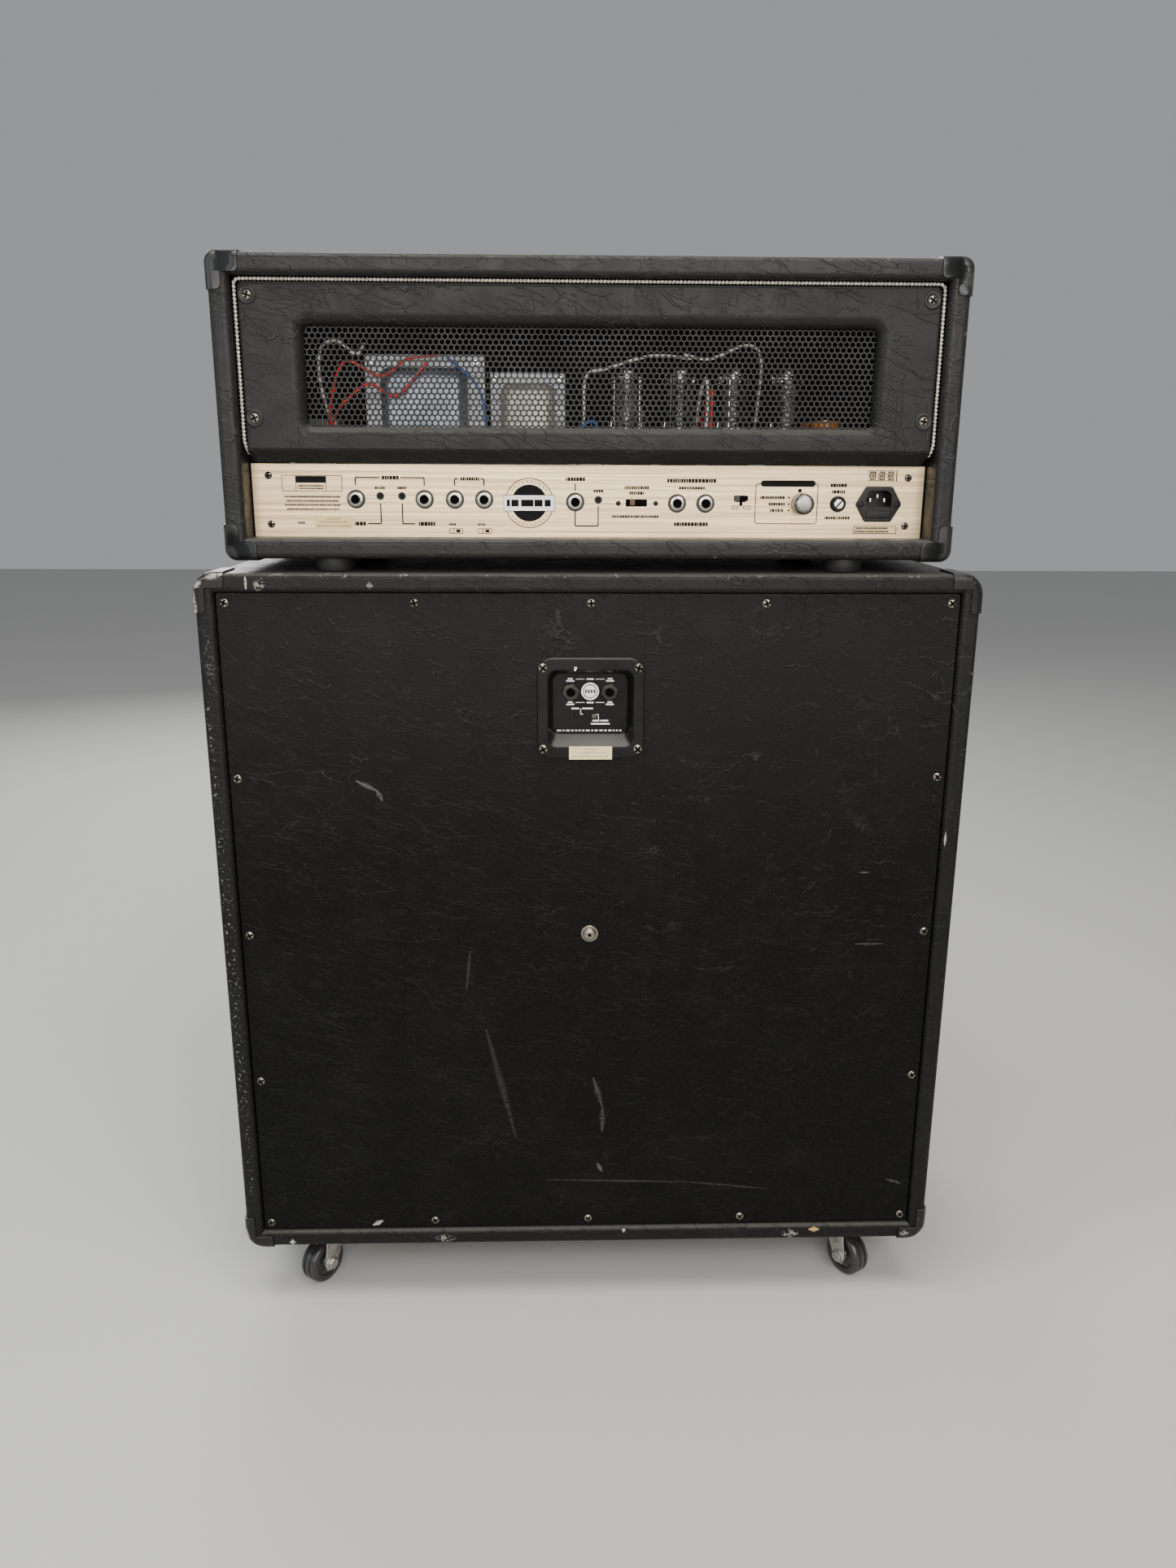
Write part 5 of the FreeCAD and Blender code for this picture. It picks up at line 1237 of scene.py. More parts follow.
def build_cab_front():
    """Cloths, piping, and the boards and speakers behind them."""
    cloth_look = woven("speaker_cloth", (0.006, 0.006, 0.006), (0.034, 0.033, 0.031))
    build_cloth("cab_cloth", "cab_grille_cloth", "cabinet", cloth_look)
    loop = frame_loop("cab_piping", 2.3, 5, 1.0)
    cord_of("cab_piping_cord", [(loop, True, 2.3)], "cabinet", "cab_piping")
    wood = ply("birch_ply")
    for node in ("cab_baffle", "cab_bracing"):
        repaint(node, wood)
    # The head's inner front board is near-black: painted shade inside the closed head.
    repaint("head_front_board", plain("board_in_painted_shade", (0.006, 0.006, 0.006), 0.75, grain=200,
                                      specular_ior_level=0.15))
    repaint("speaker_frames", plain("basket_paint", (0.02, 0.02, 0.021), 0.4))
    cone = Look("cone_paper", (0.035, 0.033, 0.030), 0.85)
    cone.bump(cone.noise(320, 4), 0.5, 0.0006)
    cone.paint(cone.blend(cone.noise(90, 5), (0.05, 0.047, 0.042), (0.02, 0.019, 0.018)))
    repaint("speaker_cones", cone)
    build_cloth("head_cloth", "head_front_cloth", "head", cloth_look)


build_casters()
build_side_handles()
build_cab_front()


# ------------------------------------------------------------------ head, rear side
def perforated(low, high):
    """Mesh sheet built from one six-sided cell round each hole, with a plain border."""
    pitch, radius = 5.6, 2.15
    width = high.x - low.x
    height = high.z - low.z
    rise = pitch * math.sqrt(3) / 2
    columns = math.ceil(width / pitch) + 1
    rows = math.ceil(height / rise) + 1
    centre = ((low.x + high.x) / 2, (low.z + high.z) / 2)
    steps = 12
    angles = [TAU * step / steps + math.pi / 3 for step in range(steps)]
    reaches = [(pitch / math.sqrt(3) * hexagon(angle - math.pi / 6), radius) for angle in angles]
    cell = Shape()
    verts = [(reach[ring] * math.cos(angle), y, reach[ring] * math.sin(angle))
             for y in (high.y, low.y) for ring in (0, 1) for angle, reach in zip(angles, reaches)]
    faces = []
    for step in range(steps):
        after = (step + 1) % steps
        for first, second in ((0, steps), (3 * steps, 2 * steps), (steps, 3 * steps)):
            faces.append((first + step, first + after, second + after, second + step))
    cell.add(verts, faces)
    shape = Shape()
    for row in range(rows + 1):
        for column in range(columns + 1):
            x = centre[0] + (column - columns / 2 + (row % 2) * 0.5) * pitch
            z = centre[1] + (row - rows / 2) * rise
            if low.x + 3 < x < high.x - 3 and low.z + 3 < z < high.z - 3:
                shape.join(cell, Matrix.Translation((x, 0, z)))
    border = [rect_loop(centre, width, height, 2, 3),
              rect_loop(centre, width - 9.5, height - 9.5, 1, 3, hole=True)]
    return shape.join(slab(border, low.y, high.y, 0.2, 0, 2))


def build_head_panel():
    """Padded-looking rear panel: rounded-over vent opening, softened rims and a lower bevel."""
    low, high = extent("head_back_panel")
    centre = (0, (low.z + high.z) / 2)
    window = (0, 996)
    window_width, window_height = 536, 90
    rim, bevel, lip = 3.0, 12, 11.0
    stations = []
    for angle in [math.pi / 2 * step / 6 for step in range(7)]:
        stations.append((rim * (1 - math.sin(angle)), high.y - rim * (1 - math.cos(angle))))
    shape = Shape()
    outer_rings = []
    for inset, depth in stations + [(0, low.y)]:
        ring = []
        for x, z in rounded(centre, high.x - low.x - 2 * inset, high.z - low.z - 2 * inset, 5, 5):
            share = (high.y - depth) / (high.y - low.y)
            if z < low.z + bevel + 6:
                slope = low.z + bevel * (1 - share)
                z = max(z, slope + inset * 0.5)
            ring.append((x, depth, z))
        outer_rings.append(ring)
    shape.skin(outer_rings, caps=(False, False))
    hole_rings = []
    for angle in [math.pi / 2 * step / 8 for step in range(9)]:
        grow = lip * (1 - math.sin(angle))
        outline = rounded(window, window_width + 2 * grow, window_height + 2 * grow, 6 + grow, 8)
        hole_rings.append(at(outline, high.y - lip * (1 - math.cos(angle))))
    hole_rings.append(at(outline, low.y))
    shape.skin(hole_rings, caps=(False, False))
    for end in (0, -1):
        shape.cover([outer_rings[end], hole_rings[end]])
    look = tolex("head_panel_tolex", tone=1.25, gloss=0.15)
    piece("head_rear_panel", shape, look, "head", ["head_back_panel"], smooth=50)
    black = plain("perforated_steel", (0.014, 0.014, 0.014), 0.5, 0.2, tint=0.3,
                  specular_ior_level=0.25)
    piece("head_vent_grid", perforated(*extent("head_vent_mesh")), black, "head",
          ["head_vent_mesh"], smooth=30, weld=False)
    screws = scattered(phillips(4.4, 1.4, cup=8.2, ink=2),
                       [(side * 315, high.y, level) for side in (-1, 1)
                        for level in (958, 1065.5)])
    button = phillips(3.6, 1.4, ink=2)
    for side in (-1, 1):
        for level in (860, 906):
            screws.join(button, facing((side * 312, REAR_Y, level)))
    piece("head_screw_set", screws, [SCREW, DARK_SCREW, PAINTED_HOLE_SHADE],
          "head", ["head_screws"])


def build_head_piping():
    """Piping over the rear panel with its ends tucked in, and a loop round the front cloth."""
    low, high = extent("head_back_panel")
    edge = 2.5
    left, right = low.x - edge, high.x + edge
    top, bottom = high.z + edge, low.z + 8
    y = high.y - 2.3
    corner = 5
    run = [(left + 3, y - 5, bottom), (left + 0.8, y - 2, bottom + 5), (left, y, bottom + 11)]
    run.extend(at(arc((left + corner, top - corner), corner, 180, 90, 6), y))
    run.extend(at(arc((right - corner, top - corner), corner, 90, 0, 6), y))
    run.extend([(right, y, bottom + 11), (right - 0.8, y - 2, bottom + 5),
                (right - 3, y - 5, bottom)])
    low, high = extent("head_front_cloth")
    loop = at(rounded((0, (low.z + high.z) / 2), high.x - low.x + 12, high.z - low.z + 5.6, 5, 6),
              low.y)
    cord_of("head_piping_cord", [(spaced(run, 1.0), False, 1.8),
                                 (spaced(loop, 1.0, closed=True), True, 2.3)], "head",
            "head_piping")


build_head_panel()
build_head_piping()
repaint("head_shell", HEAD_TOLEX)


# ------------------------------------------------------------------ rear control plate
TRIMS = ("send_trim", "return_trim", "line_trim")
CONTROL_Z = 880.8  # height of the row of jacks and controls


def spot_of(name):
    """Place (x, z) of a jack or a turning control, from its mount or joint."""
    source = MOUNTS.get(name) or JOINTS[name]
    position = source["pos_m"]
    return position[0] / MM, position[2] / MM


def print_line(shape, start, end, width, face, side=1):
    """Thin printed stroke on a plate, horizontal or vertical, from start to end (x, z)."""
    half = width / 2
    low_x, high_x = sorted((start[0], end[0]))
    low_z, high_z = sorted((start[1], end[1]))
    if low_x == high_x:
        low_x, high_x = low_x - half, high_x + half
    else:
        low_z, high_z = low_z - half, high_z + half
    outline = [(low_x, low_z), (high_x, low_z), (high_x, high_z), (low_x, high_z)]
    depths = sorted((face - side * 0.3, face + side * 0.12))
    shape.skin([at(outline, depth) for depth in depths])


def print_run(shape, points, width, face, side=1):
    """Printed strokes from point to point."""
    for start, end in zip(points, points[1:]):
        print_line(shape, start, end, width, face, side)


def print_box(shape, low, high, width, face, side=1, radius=1.0):
    """Outlined rounded rectangle."""
    centre = ((low[0] + high[0]) / 2, (low[1] + high[1]) / 2)
    outer = rect_loop(centre, high[0] - low[0], high[1] - low[1], radius, 4)
    inner = rect_loop(centre, high[0] - low[0] - 2 * width, high[1] - low[1] - 2 * width,
                      max(radius - width, 0.3), 4, hole=True)
    shape.join(slab([outer, inner], face - side * 0.3, face + side * 0.12, 0.02, 0, 1))


def print_disc(shape, spot, radius, face, inner=0.0):
    """Printed dot, or a ring when it has an inner radius, on a plate that faces +Y."""
    if inner:
        ring = turned([(radius, -0.2), (radius, 0.12), (inner, 0.12), (inner, -0.2)], 48)
    else:
        ring = turned([(radius, -0.2), (radius, 0.12), (0, 0.12)], 40)
    shape.join(ring, facing((spot[0], face, spot[1])))


def build_rear_prints():
    """Bracket lines, outlined fields, position dots and a plain ring badge; no wording."""
    ink = Shape()
    y = REAR_Y
    thin, fine = 1.2, 0.65  # widths of the bracket lines and of the field outlines
    send_x, back_x, trim_in, trim_out, foot_one, foot_two, line_x, line_trim = [
        spot_of(name)[0] for name in (
            "send_jack", "return_jack", "send_trim_turn", "return_trim_turn",
            "footswitch_jack_one", "footswitch_jack_two", "line_jack", "line_trim_turn")]
    top = 904.4
    print_run(ink, [(send_x, 897), (send_x, top), (205, top)], thin, y)
    print_run(ink, [(185, top), (back_x, top), (back_x, 897)], thin, y)
    print_run(ink, [(trim_in, 880), (trim_in, 860.6), (218, 860.6)], thin, y)
    print_run(ink, [(trim_out, 880), (trim_out, 860.6), (172, 860.6)], thin, y)
    print_run(ink, [(foot_one, 897), (foot_one, 903.5), (foot_one - 3.4, 903.5)], thin, y)
    print_run(ink, [(foot_two + 3.4, 903.5), (foot_two, 903.5), (foot_two, 897)], thin, y)
    print_run(ink, [(line_x, 899.5), (line_x, 892.5)], thin, y)
    print_run(ink, [(line_x, 873.5), (line_x, 859), (line_trim, 859), (line_trim, 878)], thin, y)
    for x, z, width, height in (
            (195, top, 17.0, 1.7), (trim_in, 894.7, 9.5, 1.3), (trim_out, 894.7, 9.5, 1.3),
            (225.6, 860.6, 11, 1.9), (160.4, 860.6, 16, 1.9), (118, 903.5, 19, 1.6),
            (line_x, 903.6, 19, 1.7), (line_trim, 892.5, 9.5, 1.3), (-45, 895.8, 24, 1.5),
            (-45, 890.6, 15, 1.5), (-44, 868.2, 46, 1.2), (-99, 902.6, 48, 1.8),
            (-99, 895.6, 26, 1.3), (-99, 861, 34, 1.8), (-244, 898.8, 16, 1.6),
            (-244, 892.6, 13, 1.6), (-244, 867.6, 25, 1.3), (-179, 886.9, 24, 1.4),
            (-183.3, 880.6, 16.5, 1.4), (-183.3, 874.6, 13.5, 1.4), (283, 861.2, 7, 1.0)):
        dashes(ink, x, z, width, height, y)
    for row in range(4):
        dashes(ink, 271, 886.0 - row * 3.9, 54 - 3 * (row % 2), 0.9, y)
    for foot in (foot_one, foot_two):
        print_box(ink, (foot - 7, 851.2), (foot + 6.5, 856.4), fine, y, radius=0.6)
        print_line(ink, (foot + 1.8, 851.2), (foot + 1.8, 856.4), fine, y)
        dashes(ink, foot + 3, 860.2, 7, 1.1, y)
        ink.join(brick((foot - 4.6, y - 0.2, 852.5), (foot - 0.6, y + 0.12, 855.2), 0.05))
    print_box(ink, (241.5, 891), (299.8, 906.4), fine, y, radius=0.5)
    ink.join(brick((257, y - 0.2, 899.2), (286, y + 0.12, 905.6), 0.05))
    print_line(ink, (257, 891), (257, 906), 0.6, y)
    print_line(ink, (286, 891), (286, 906), 0.6, y)
    for row in range(2):
        dashes(ink, 271.5, 896.4 - row * 2.6, 24, 0.8, y)
    print_box(ink, (-224, 861.4), (-162, 900.6), 0.8, y, radius=2.8)
    pill = rect_loop((-194, 900.3), 54, 6, 2.9, 6)
    ink.join(slab([pill], y - 0.2, y + 0.16, 0.05, 0, 1))
    for level in (886.9, 880.6, 874.6):
        print_disc(ink, (-195.4, level), 1.0, y)
    print_disc(ink, (-205.8, 893.6), 1.9, y)
    for low, high in (((-145.6, 875.6), (-139.4, 878.9)), ((-157.4, 875.6), (-150.4, 878.9))):
        print_box(ink, low, high, 0.6, y, radius=0.4)
    for row in range(4):
        level = 903.4 + row * 3.1
        print_line(ink, (-272, level), (-299, level), 0.6, y)
        for column in range(3 if row < 3 else 0):
            dashes(ink, -276.8 - column * 9.0, level + 1.5, 6.4, 1.0, y)
    print_line(ink, (-300.6, 902.8), (-300.6, 913.4), 1.0, y)
    print_box(ink, (-304, 852.2), (-260.6, 859.8), fine, y, radius=0.6)
    dashes(ink, -279, 857.7, 32, 0.9, y)
    dashes(ink, -279, 854.4, 34, 0.9, y)
    badge = (60, CONTROL_Z)
    print_disc(ink, badge, 24.0, y, inner=23.2)
    print_disc(ink, badge, 17.6, y)
    piece("rear_plate_ink", ink, PRINT_BLACK, "head")
    plaque = Shape()
    dot = turned([(0.65, 0), (0.65, 0.14), (0, 0.14)], 10)
    for angle in [TAU * step / 30 for step in range(30)]:
        if abs(math.sin(angle)) >= 0.42:
            plaque.join(dot, facing((badge[0] + 20.6 * math.cos(angle), y,
                                     badge[1] + 20.6 * math.sin(angle))))
    print_box(plaque, (34.8, 873.0), (85.2, 888.6), 0.5, y + 0.12, radius=0.3)
    for x, wide in ((42, 6), (51, 8), (62, 12), (74, 7), (80.5, 3)):
        plaque.join(brick((x - wide / 2, y, 877.6), (x + wide / 2, y + 0.3, 884.0), 0.05))
    pale = brick((34.8, y - 0.1, 873.0), (85.2, y + 0.2, 888.6), 0.05).join(plaque, mark=1)
    piece("rear_badge", pale, [PRINT_WHITE, PRINT_BLACK], "head")
    sticker = brick((232.8, y - 0.1, 856.2), (270, y + 0.16, 867.6), 0.08)
    yellowed = plain("rear_sticker_paper", (0.80, 0.60, 0.26), 0.55, tint=0.15)
    piece("rear_sticker", sticker, yellowed, "head")
    typed = Shape()
    for level, wide in ((865.2, 14), (862.2, 26), (858.6, 32)):
        dashes(typed, 251.4, level, wide, 0.9, y + 0.08)
    piece("rear_sticker_lines", typed, FADED_INK, "head")


def dashes(shape, x, z, width, height, face):
    """A row of short printed strokes standing in for a caption."""
    start = x - width / 2
    while start < x + width / 2 - 0.4:
        length = min(random.uniform(1.0, 2.6) * max(height, 1) * 0.7, x + width / 2 - start)
        shape.join(brick((start, face - 0.2, z - height),
                         (start + length, face + 0.14, z + height), 0.03))
        start += length + 0.4


def build_rear_jacks():
    """Seven jacks on the rear plate and the input jack on the front panel."""
    shape = Shape()
    template = jack_front()
    for name in ("send_jack", "return_jack", "footswitch_jack_one", "footswitch_jack_two",
                 "line_jack", "speaker_jack_one", "speaker_jack_two"):
        x, z = spot_of(name)
        shape.join(template, facing((x, REAR_Y, z)) @ Matrix.Rotation(random.random(), 4, "Z"))
    x, z = spot_of("input_jack")
    shape.join(template, facing((x, FRONT_Y, z), -1))
    satin = plain("satin_nickel", (0.42, 0.40, 0.36), 0.28, 1.0, tint=0.45, depth=0.00008)
    # The near-black washer is painted shadow round each jack nut.
    washer = plain("washer_painted_shadow", (0.025, 0.024, 0.022), 0.5, 0.4, tint=0.3)
    piece("head_jack_set", shape, [satin, washer, PAINTED_HOLE_SHADE], "head", ["head_jacks"])


def build_trims():
    """Three slotted trimmer shafts, each in its hole with a dark rim."""
    dark = plain("trim_shaft", (0.006, 0.006, 0.006), 0.6, tint=0.3, specular_ior_level=0.15)
    shaft = turned([(2.4, -6), (2.4, 0.3), (2.1, 0.6), (0, 0.6)], 28)
    hole = turned([(3.8, 0), (3.8, 0.18), (2.62, 0.18), (2.62, -1)], 32, bored=True)
    rings = Shape()
    for name in TRIMS:
        x, z = spot_of(name + "_turn")
        spot = facing((x, REAR_Y, z))
        shape = Shape().join(shaft, spot)
        for side in (-1, 1):
            notch = brick((side * 1.2 - 0.5, REAR_Y + 0.5, z - 1.5),
                          (side * 1.2 + 0.5, REAR_Y + 0.75, z + 1.5), 0.1)
            shape.join(notch, Matrix.Translation((x, 0, 0)))
        piece(name + "_shaft", shape, dark, name, [name])
        rings.join(hole, spot)
    piece("trim_hole_rings", rings, DARK_SCREW, "head")


def build_rear_slides():
    """Two slide switches: slots and screws on the plate, ribbed buttons on their own bodies."""
    brown = plain("slide_paxolin", (0.16, 0.045, 0.020), 0.5, tint=0.5)
    face = REAR_Y
    shape = Shape()
    # The slot mouths and the discs under the screws are near-black: painted shade in the slots and round the screw
    # heads.
    for x, z, width, height in ((-45, 881.3, 21, 7), (-148, 885.6, 9.5, 6.4)):
        mouth = rect_loop((x, z), width, height, 0.6, 2)
        shape.join(slab([mouth], face - 0.4, face + 0.10, 0.05, 0, 1))
    spots = [(x, face, CONTROL_Z) for x in (-27.2, -64.0)]
    for spot in spots:
        shape.join(turned([(2.4, 0), (2.4, 0.14), (0, 0.14)], 20), facing(spot))
    shape.join(brick((-149.6, face - 0.3, 878.8), (-146.6, face + 0.14, 883), 0.05))
    piece("slide_slots", shape, PAINTED_HOLE_SHADE, "head")
    screws = scattered(phillips(2.0, 0.9), [(x, y + 0.1, z) for x, y, z in spots])
    piece("slide_screws", screws, DARK_SCREW, "head")
    for name, look in (("impedance_slide", brown), ("ground_slide", SATIN_BLACK)):
        low, high = extent(name)
        button = ribbed_button((low.x, face - 4, low.z), high, 0.7, 3.4, 0.3, 0.12)
        piece(name + "_button", button, look, name, [name])


def knurled_knob(radius, length, gap, skirt=0.0):
    """Turned metal knob with a fluted side and a domed top, on its shaft."""
    profile = [(radius - 0.4, gap), (radius, gap + 0.4)]
    if skirt:
        profile.extend([(radius, gap + 1.2), (radius - 1.2, gap + skirt),
                        (radius - 3.4, gap + skirt + 0.3)])
        radius -= 3.4
    top = gap + length
    low, high = profile[-1][1] + 0.2, top - 3.2
    for share in [step / 10 for step in range(11)]:
        profile.append((radius - 0.4 * share, low + (high - low) * share))
    for angle in [math.pi / 2 * step / 6 for step in range(1, 7)]:
        profile.append((radius - 0.5 - 4.0 * (1 - math.cos(angle)), high + 3.2 * math.sin(angle)))
    profile.append((0.01, top + 0.05))
    shape = turned(profile, 120, lobes=40, depth=0.45, span=(low, high - 0.2))
    return shape.join(turned([(3, -13), (3, gap + 1), (0, gap + 1)], 24))


def build_mode_knob():
    """Fluted selector knob with its pointer, and the nut under it."""
    x, z = spot_of("mode_turn")
    shape = Shape().join(knurled_knob(10.3, 14.9, 1.5), facing((x, REAR_Y, z)))
    pointer = brick((x + 4.0, REAR_Y + 14.2, z - 0.5), (x + 9.4, REAR_Y + 15.6, z + 0.5), 0.2)
    shape.join(pointer, mark=1)
    piece("mode_knob_shape", shape, [KNOB_METAL, PRINT_BLACK], "mode_knob",
          ["mode_knob"], smooth=30)
    nut = turned([(6.6, 0), (6.6, 1.1), (5.8, 1.4), (3.2, 1.4), (3.2, 0)], 30, bored=True)
    piece("mode_nut", Shape().join(nut, facing((x, REAR_Y, z))), DARK_SCREW, "head")


def build_fuse():
    """Fuse holder and its slotted cap."""
    x, z = spot_of("fuse_cap_turn")
    holder = turned([(7.9, 0), (7.9, 1.2), (7.4, 3.2), (6.6, 4.0), (5.9, 4.0), (5.7, 3.2),
                     (5.7, -24), (6.5, -24), (6.5, -0.2)], 48, bored=True)
    shape = Shape().join(holder, facing((x, REAR_Y, z)))
    piece("fuse_holder_body", shape, DISH_PLASTIC, "head", ["fuse_holder"])
    cap = turned([(5.2, -8), (5.2, 4.4), (5.0, 5.4), (4.2, 6.0), (0.01, 6.02)], 48, lobes=24,
                 depth=0.25, span=(0, 4.5))
    shape = Shape().join(cap, facing((x, REAR_Y, z)))
    # The near-black bar is painted shade in the cap's slot.
    slot = brick((-4.4, 5.6, -0.75), (4.4, 6.12, 0.75), 0.15)
    turn = Matrix.Translation((x, REAR_Y, z)) @ Matrix.Rotation(math.radians(48), 4, "Y")
    shape.join(slot, turn, mark=1)
    piece("fuse_cap_shape", shape, [NICKEL, PAINTED_HOLE_SHADE], "fuse_cap", ["fuse_cap"])


def build_inlet():
    """Six-sided mains inlet: raised rim, shaped cavity with three pins, drawer and screws."""
    low, high = extent("mains_inlet")
    x, z = (low.x + high.x) / 2, 881
    y = REAR_Y
    top = y + 3.0

    def moved(points, depth, scale=1.0):
        return [(x + px * scale, depth, z + pz * scale) for px, pz in points]

    rim = soft_corners([(-22.75, 0), (-13, -17), (13, -17), (22.75, 0), (13, 17), (-13, 17)], 3)
    rings = [moved(rim, y), moved(rim, y + 2.2), moved(rim, y + 2.8, 0.985),
             moved(rim, top, 0.955)]
    shape = Shape().skin(rings, caps=(False, False))
    cavity = soft_corners([(-12.5, -3), (12.5, -3), (12.5, 9), (8.5, 13), (-8.5, 13),
                           (-12.5, 9)], 1.4, 3)
    drawer = rounded((0, -10), 24.6, 6.6, 0.6, 2)
    holes = []
    for outline, deep in ((cavity, 19), (drawer, 20.5)):
        holes.append(moved(outline, top))
        shape.skin([holes[-1], moved(outline, y - deep)], caps=(False, True))
    shape.cover([rings[-1]] + holes)
    for px, rise in ((-7, 3.5), (0, 7.5), (7, 3.5)):
        shape.join(brick((x + px - 1, y - 19, z + rise - 2), (x + px + 1, y - 3, z + rise + 2),
                         0.5), mark=1)
    for side in (-1, 1):
        shape.join(phillips(3.0, 0.9), facing((x + side * 17.8, y + 2.9, z)), mark=2)
    piece("mains_inlet_body", shape, [DISH_PLASTIC, NICKEL, DARK_SCREW], "head",
          ["mains_inlet"])
    low, high = extent("fuse_drawer")
    front = brick((low.x, high.y - 3.4, low.z), high, 0.5)
    front.join(brick((x - 10.5, low.y, low.z + 0.6), (x + 10.5, high.y - 3, low.z + 2), 0.2))
    front.join(brick((x - 5, high.y - 0.3, low.z + 2.2), (x + 5, high.y + 0.5, low.z + 3.6), 0.3))
    piece("fuse_drawer_body", front, DISH_PLASTIC, "fuse_drawer",
          ["fuse_drawer"])


repaint("rear_plate", ALUMINIUM)
build_rear_prints()
build_rear_jacks()
build_trims()
build_rear_slides()
build_mode_knob()
build_fuse()
build_inlet()


# ------------------------------------------------------------------ inside the head
DECK_Z = 915  # top of the chassis
POWER_TUBES = [(-38 - 54 * index, 70, DECK_Z) for index in range(4)]
SMALL_TUBES = [(-60 - 50 * index, -30, DECK_Z) for index in range(3)]


def glass_look():
    """Clear envelope, slightly uneven."""
    look = Look("tube_envelope", (0.92, 0.95, 0.96), 0.04, transmission_weight=1.0, ior=1.45)
    look.roughen(look.remap(look.noise(60, 3), 0.3, 0.7, 0.03, 0.09))
    look.bump(look.noise(30, 2), 0.1, 0.0002)
    return look


def build_tubes():
    """Glass envelopes with a silvered top, a dark plate structure and a moulded base."""
    silver = plain("getter_silver", (0.75, 0.75, 0.74), 0.16, 1.0, tint=0.3)
    plate = plain("anode_grey", (0.07, 0.07, 0.075), 0.5, 0.7, tint=0.3)
    glass = glass_look()
    power = Shape()
    power.join(turned([(17, 0), (17, 19), (16, 20), (0, 20)], 32), mark=3)
    power.join(turned([(15, 20), (15, 82), (14, 88), (10.5, 93), (5, 95.6), (0.01, 96)], 36))
    power.join(turned([(14.6, 80), (14.4, 83), (13.2, 88), (9.6, 92.4), (4.6, 94.8),
                       (0.01, 95.2)], 36), mark=1)
    for side in (-1, 1):
        power.join(brick((side * 5.5 - 4.2, -7, 30), (side * 5.5 + 4.2, 7, 74), 1.5), mark=2)
        power.join(swept([(side * 9.5, 0, 20), (side * 9.5, 0, 78)], 0.8, 8), mark=1)
    for level in (76.5, 28):
        power.join(turned([(12, level), (12, level + 0.8), (0, level + 0.8)], 24), mark=1)
    small = turned([(11, 0), (11, 45), (9.5, 50), (4, 52.6), (2, 54), (0.01, 54)], 28)
    small.join(turned([(10.6, 42), (9.2, 49), (4, 52), (0.01, 52.4)], 28), mark=1)
    small.join(brick((-6, -4, 8), (6, 4, 38), 1.0), mark=2)
    lift = Matrix.Translation((0, 0, 9))
    shape = Shape()
    for tube, spots, turn in ((power, POWER_TUBES, 31), (small, SMALL_TUBES, 17)):
        for index, spot in enumerate(spots):
            shape.join(tube, upright(spot, turn * index) @ lift)
    base = plain("tube_base", (0.022, 0.020, 0.020), 0.35, tint=0.2)
    piece("tube_set", shape, [glass, silver, plate, base], "head", ["tubes"],
          weld=False)
    sockets = Shape()
    large = turned([(19, 0), (19, 1.4), (18.2, 2), (17.6, 8.4), (17, 9), (0, 9)], 36)
    clip = swept([(17.8, 0, 2), (18.4, 0, 20), (17.6, 0, 34), (16.2, 0, 44)], 0.9, 8)
    for spot in POWER_TUBES:
        sockets.join(large, upright(spot))
        for turn in (20, 200):
            sockets.join(clip, upright(spot, turn), mark=1)
    for spot in SMALL_TUBES:
        sockets.join(turned([(12, 0), (12, 7.6), (11.3, 9), (0, 9)], 28), upright(spot))
    ceramic = plain("socket_moulding", (0.05, 0.045, 0.042), 0.5, tint=0.3)
    piece("tube_socket_set", sockets, [ceramic, NICKEL], "head",
          ["tube_sockets"])


def build_transformers():
    """Three stacks of laminations between pressed end bells, with bolt heads."""
    middle = 45
    leaves = 22
    bolt = turned([(3.6, 0), (3.6, 2.4), (2.9, 3), (0, 3)], 12)
    shape = Shape()
    for x, width, depth, height, bell in ((165, 120, 92, 108, 1), (62, 76, 66, 92, 3),
                                          (282, 52, 44, 46, 1)):
        core = depth * 0.5
        for leaf in range(leaves):
            start = middle - core / 2 + core * leaf / leaves
            shape.join(brick((x - width / 2, start, DECK_Z),
                             (x + width / 2, start + core / leaves * 0.8, DECK_Z + height), 0.25))
        for side in (-1, 1):
            rings = []
            for share, inset in ((0, 0), (0.55, 0.5), (0.8, 2.5), (0.95, 6.5), (1.0, 10)):
                outline = rounded((x, DECK_Z + height * 0.5), width * 0.72 - 2 * inset,
                                  height * 0.76 - 2 * inset, 9, 6)
                rings.append(at(outline, middle + side * (core + (depth - core) * share) / 2))
            shape.skin(rings, caps=(False, True), mark=bell)
        for side in (-1, 1):
            for level in (0.07, 0.93):
                spot = (x + side * width * 0.43, middle + core / 2, DECK_Z + height * level)
                shape.join(bolt, facing(spot), mark=2)
    leaf_look = brushed("laminations", (0.34, 0.37, 0.42), 0.4)
    bell_look = plain("end_bell_plating", (0.24, 0.29, 0.38), 0.30, 0.5, tint=0.35)
    pale_look = plain("end_bell_pale", (0.60, 0.58, 0.52), 0.38, 0.3, tint=0.3)
    piece("transformer_set", shape, [leaf_look, bell_look, NICKEL, pale_look], "head",
          ["transformers"])


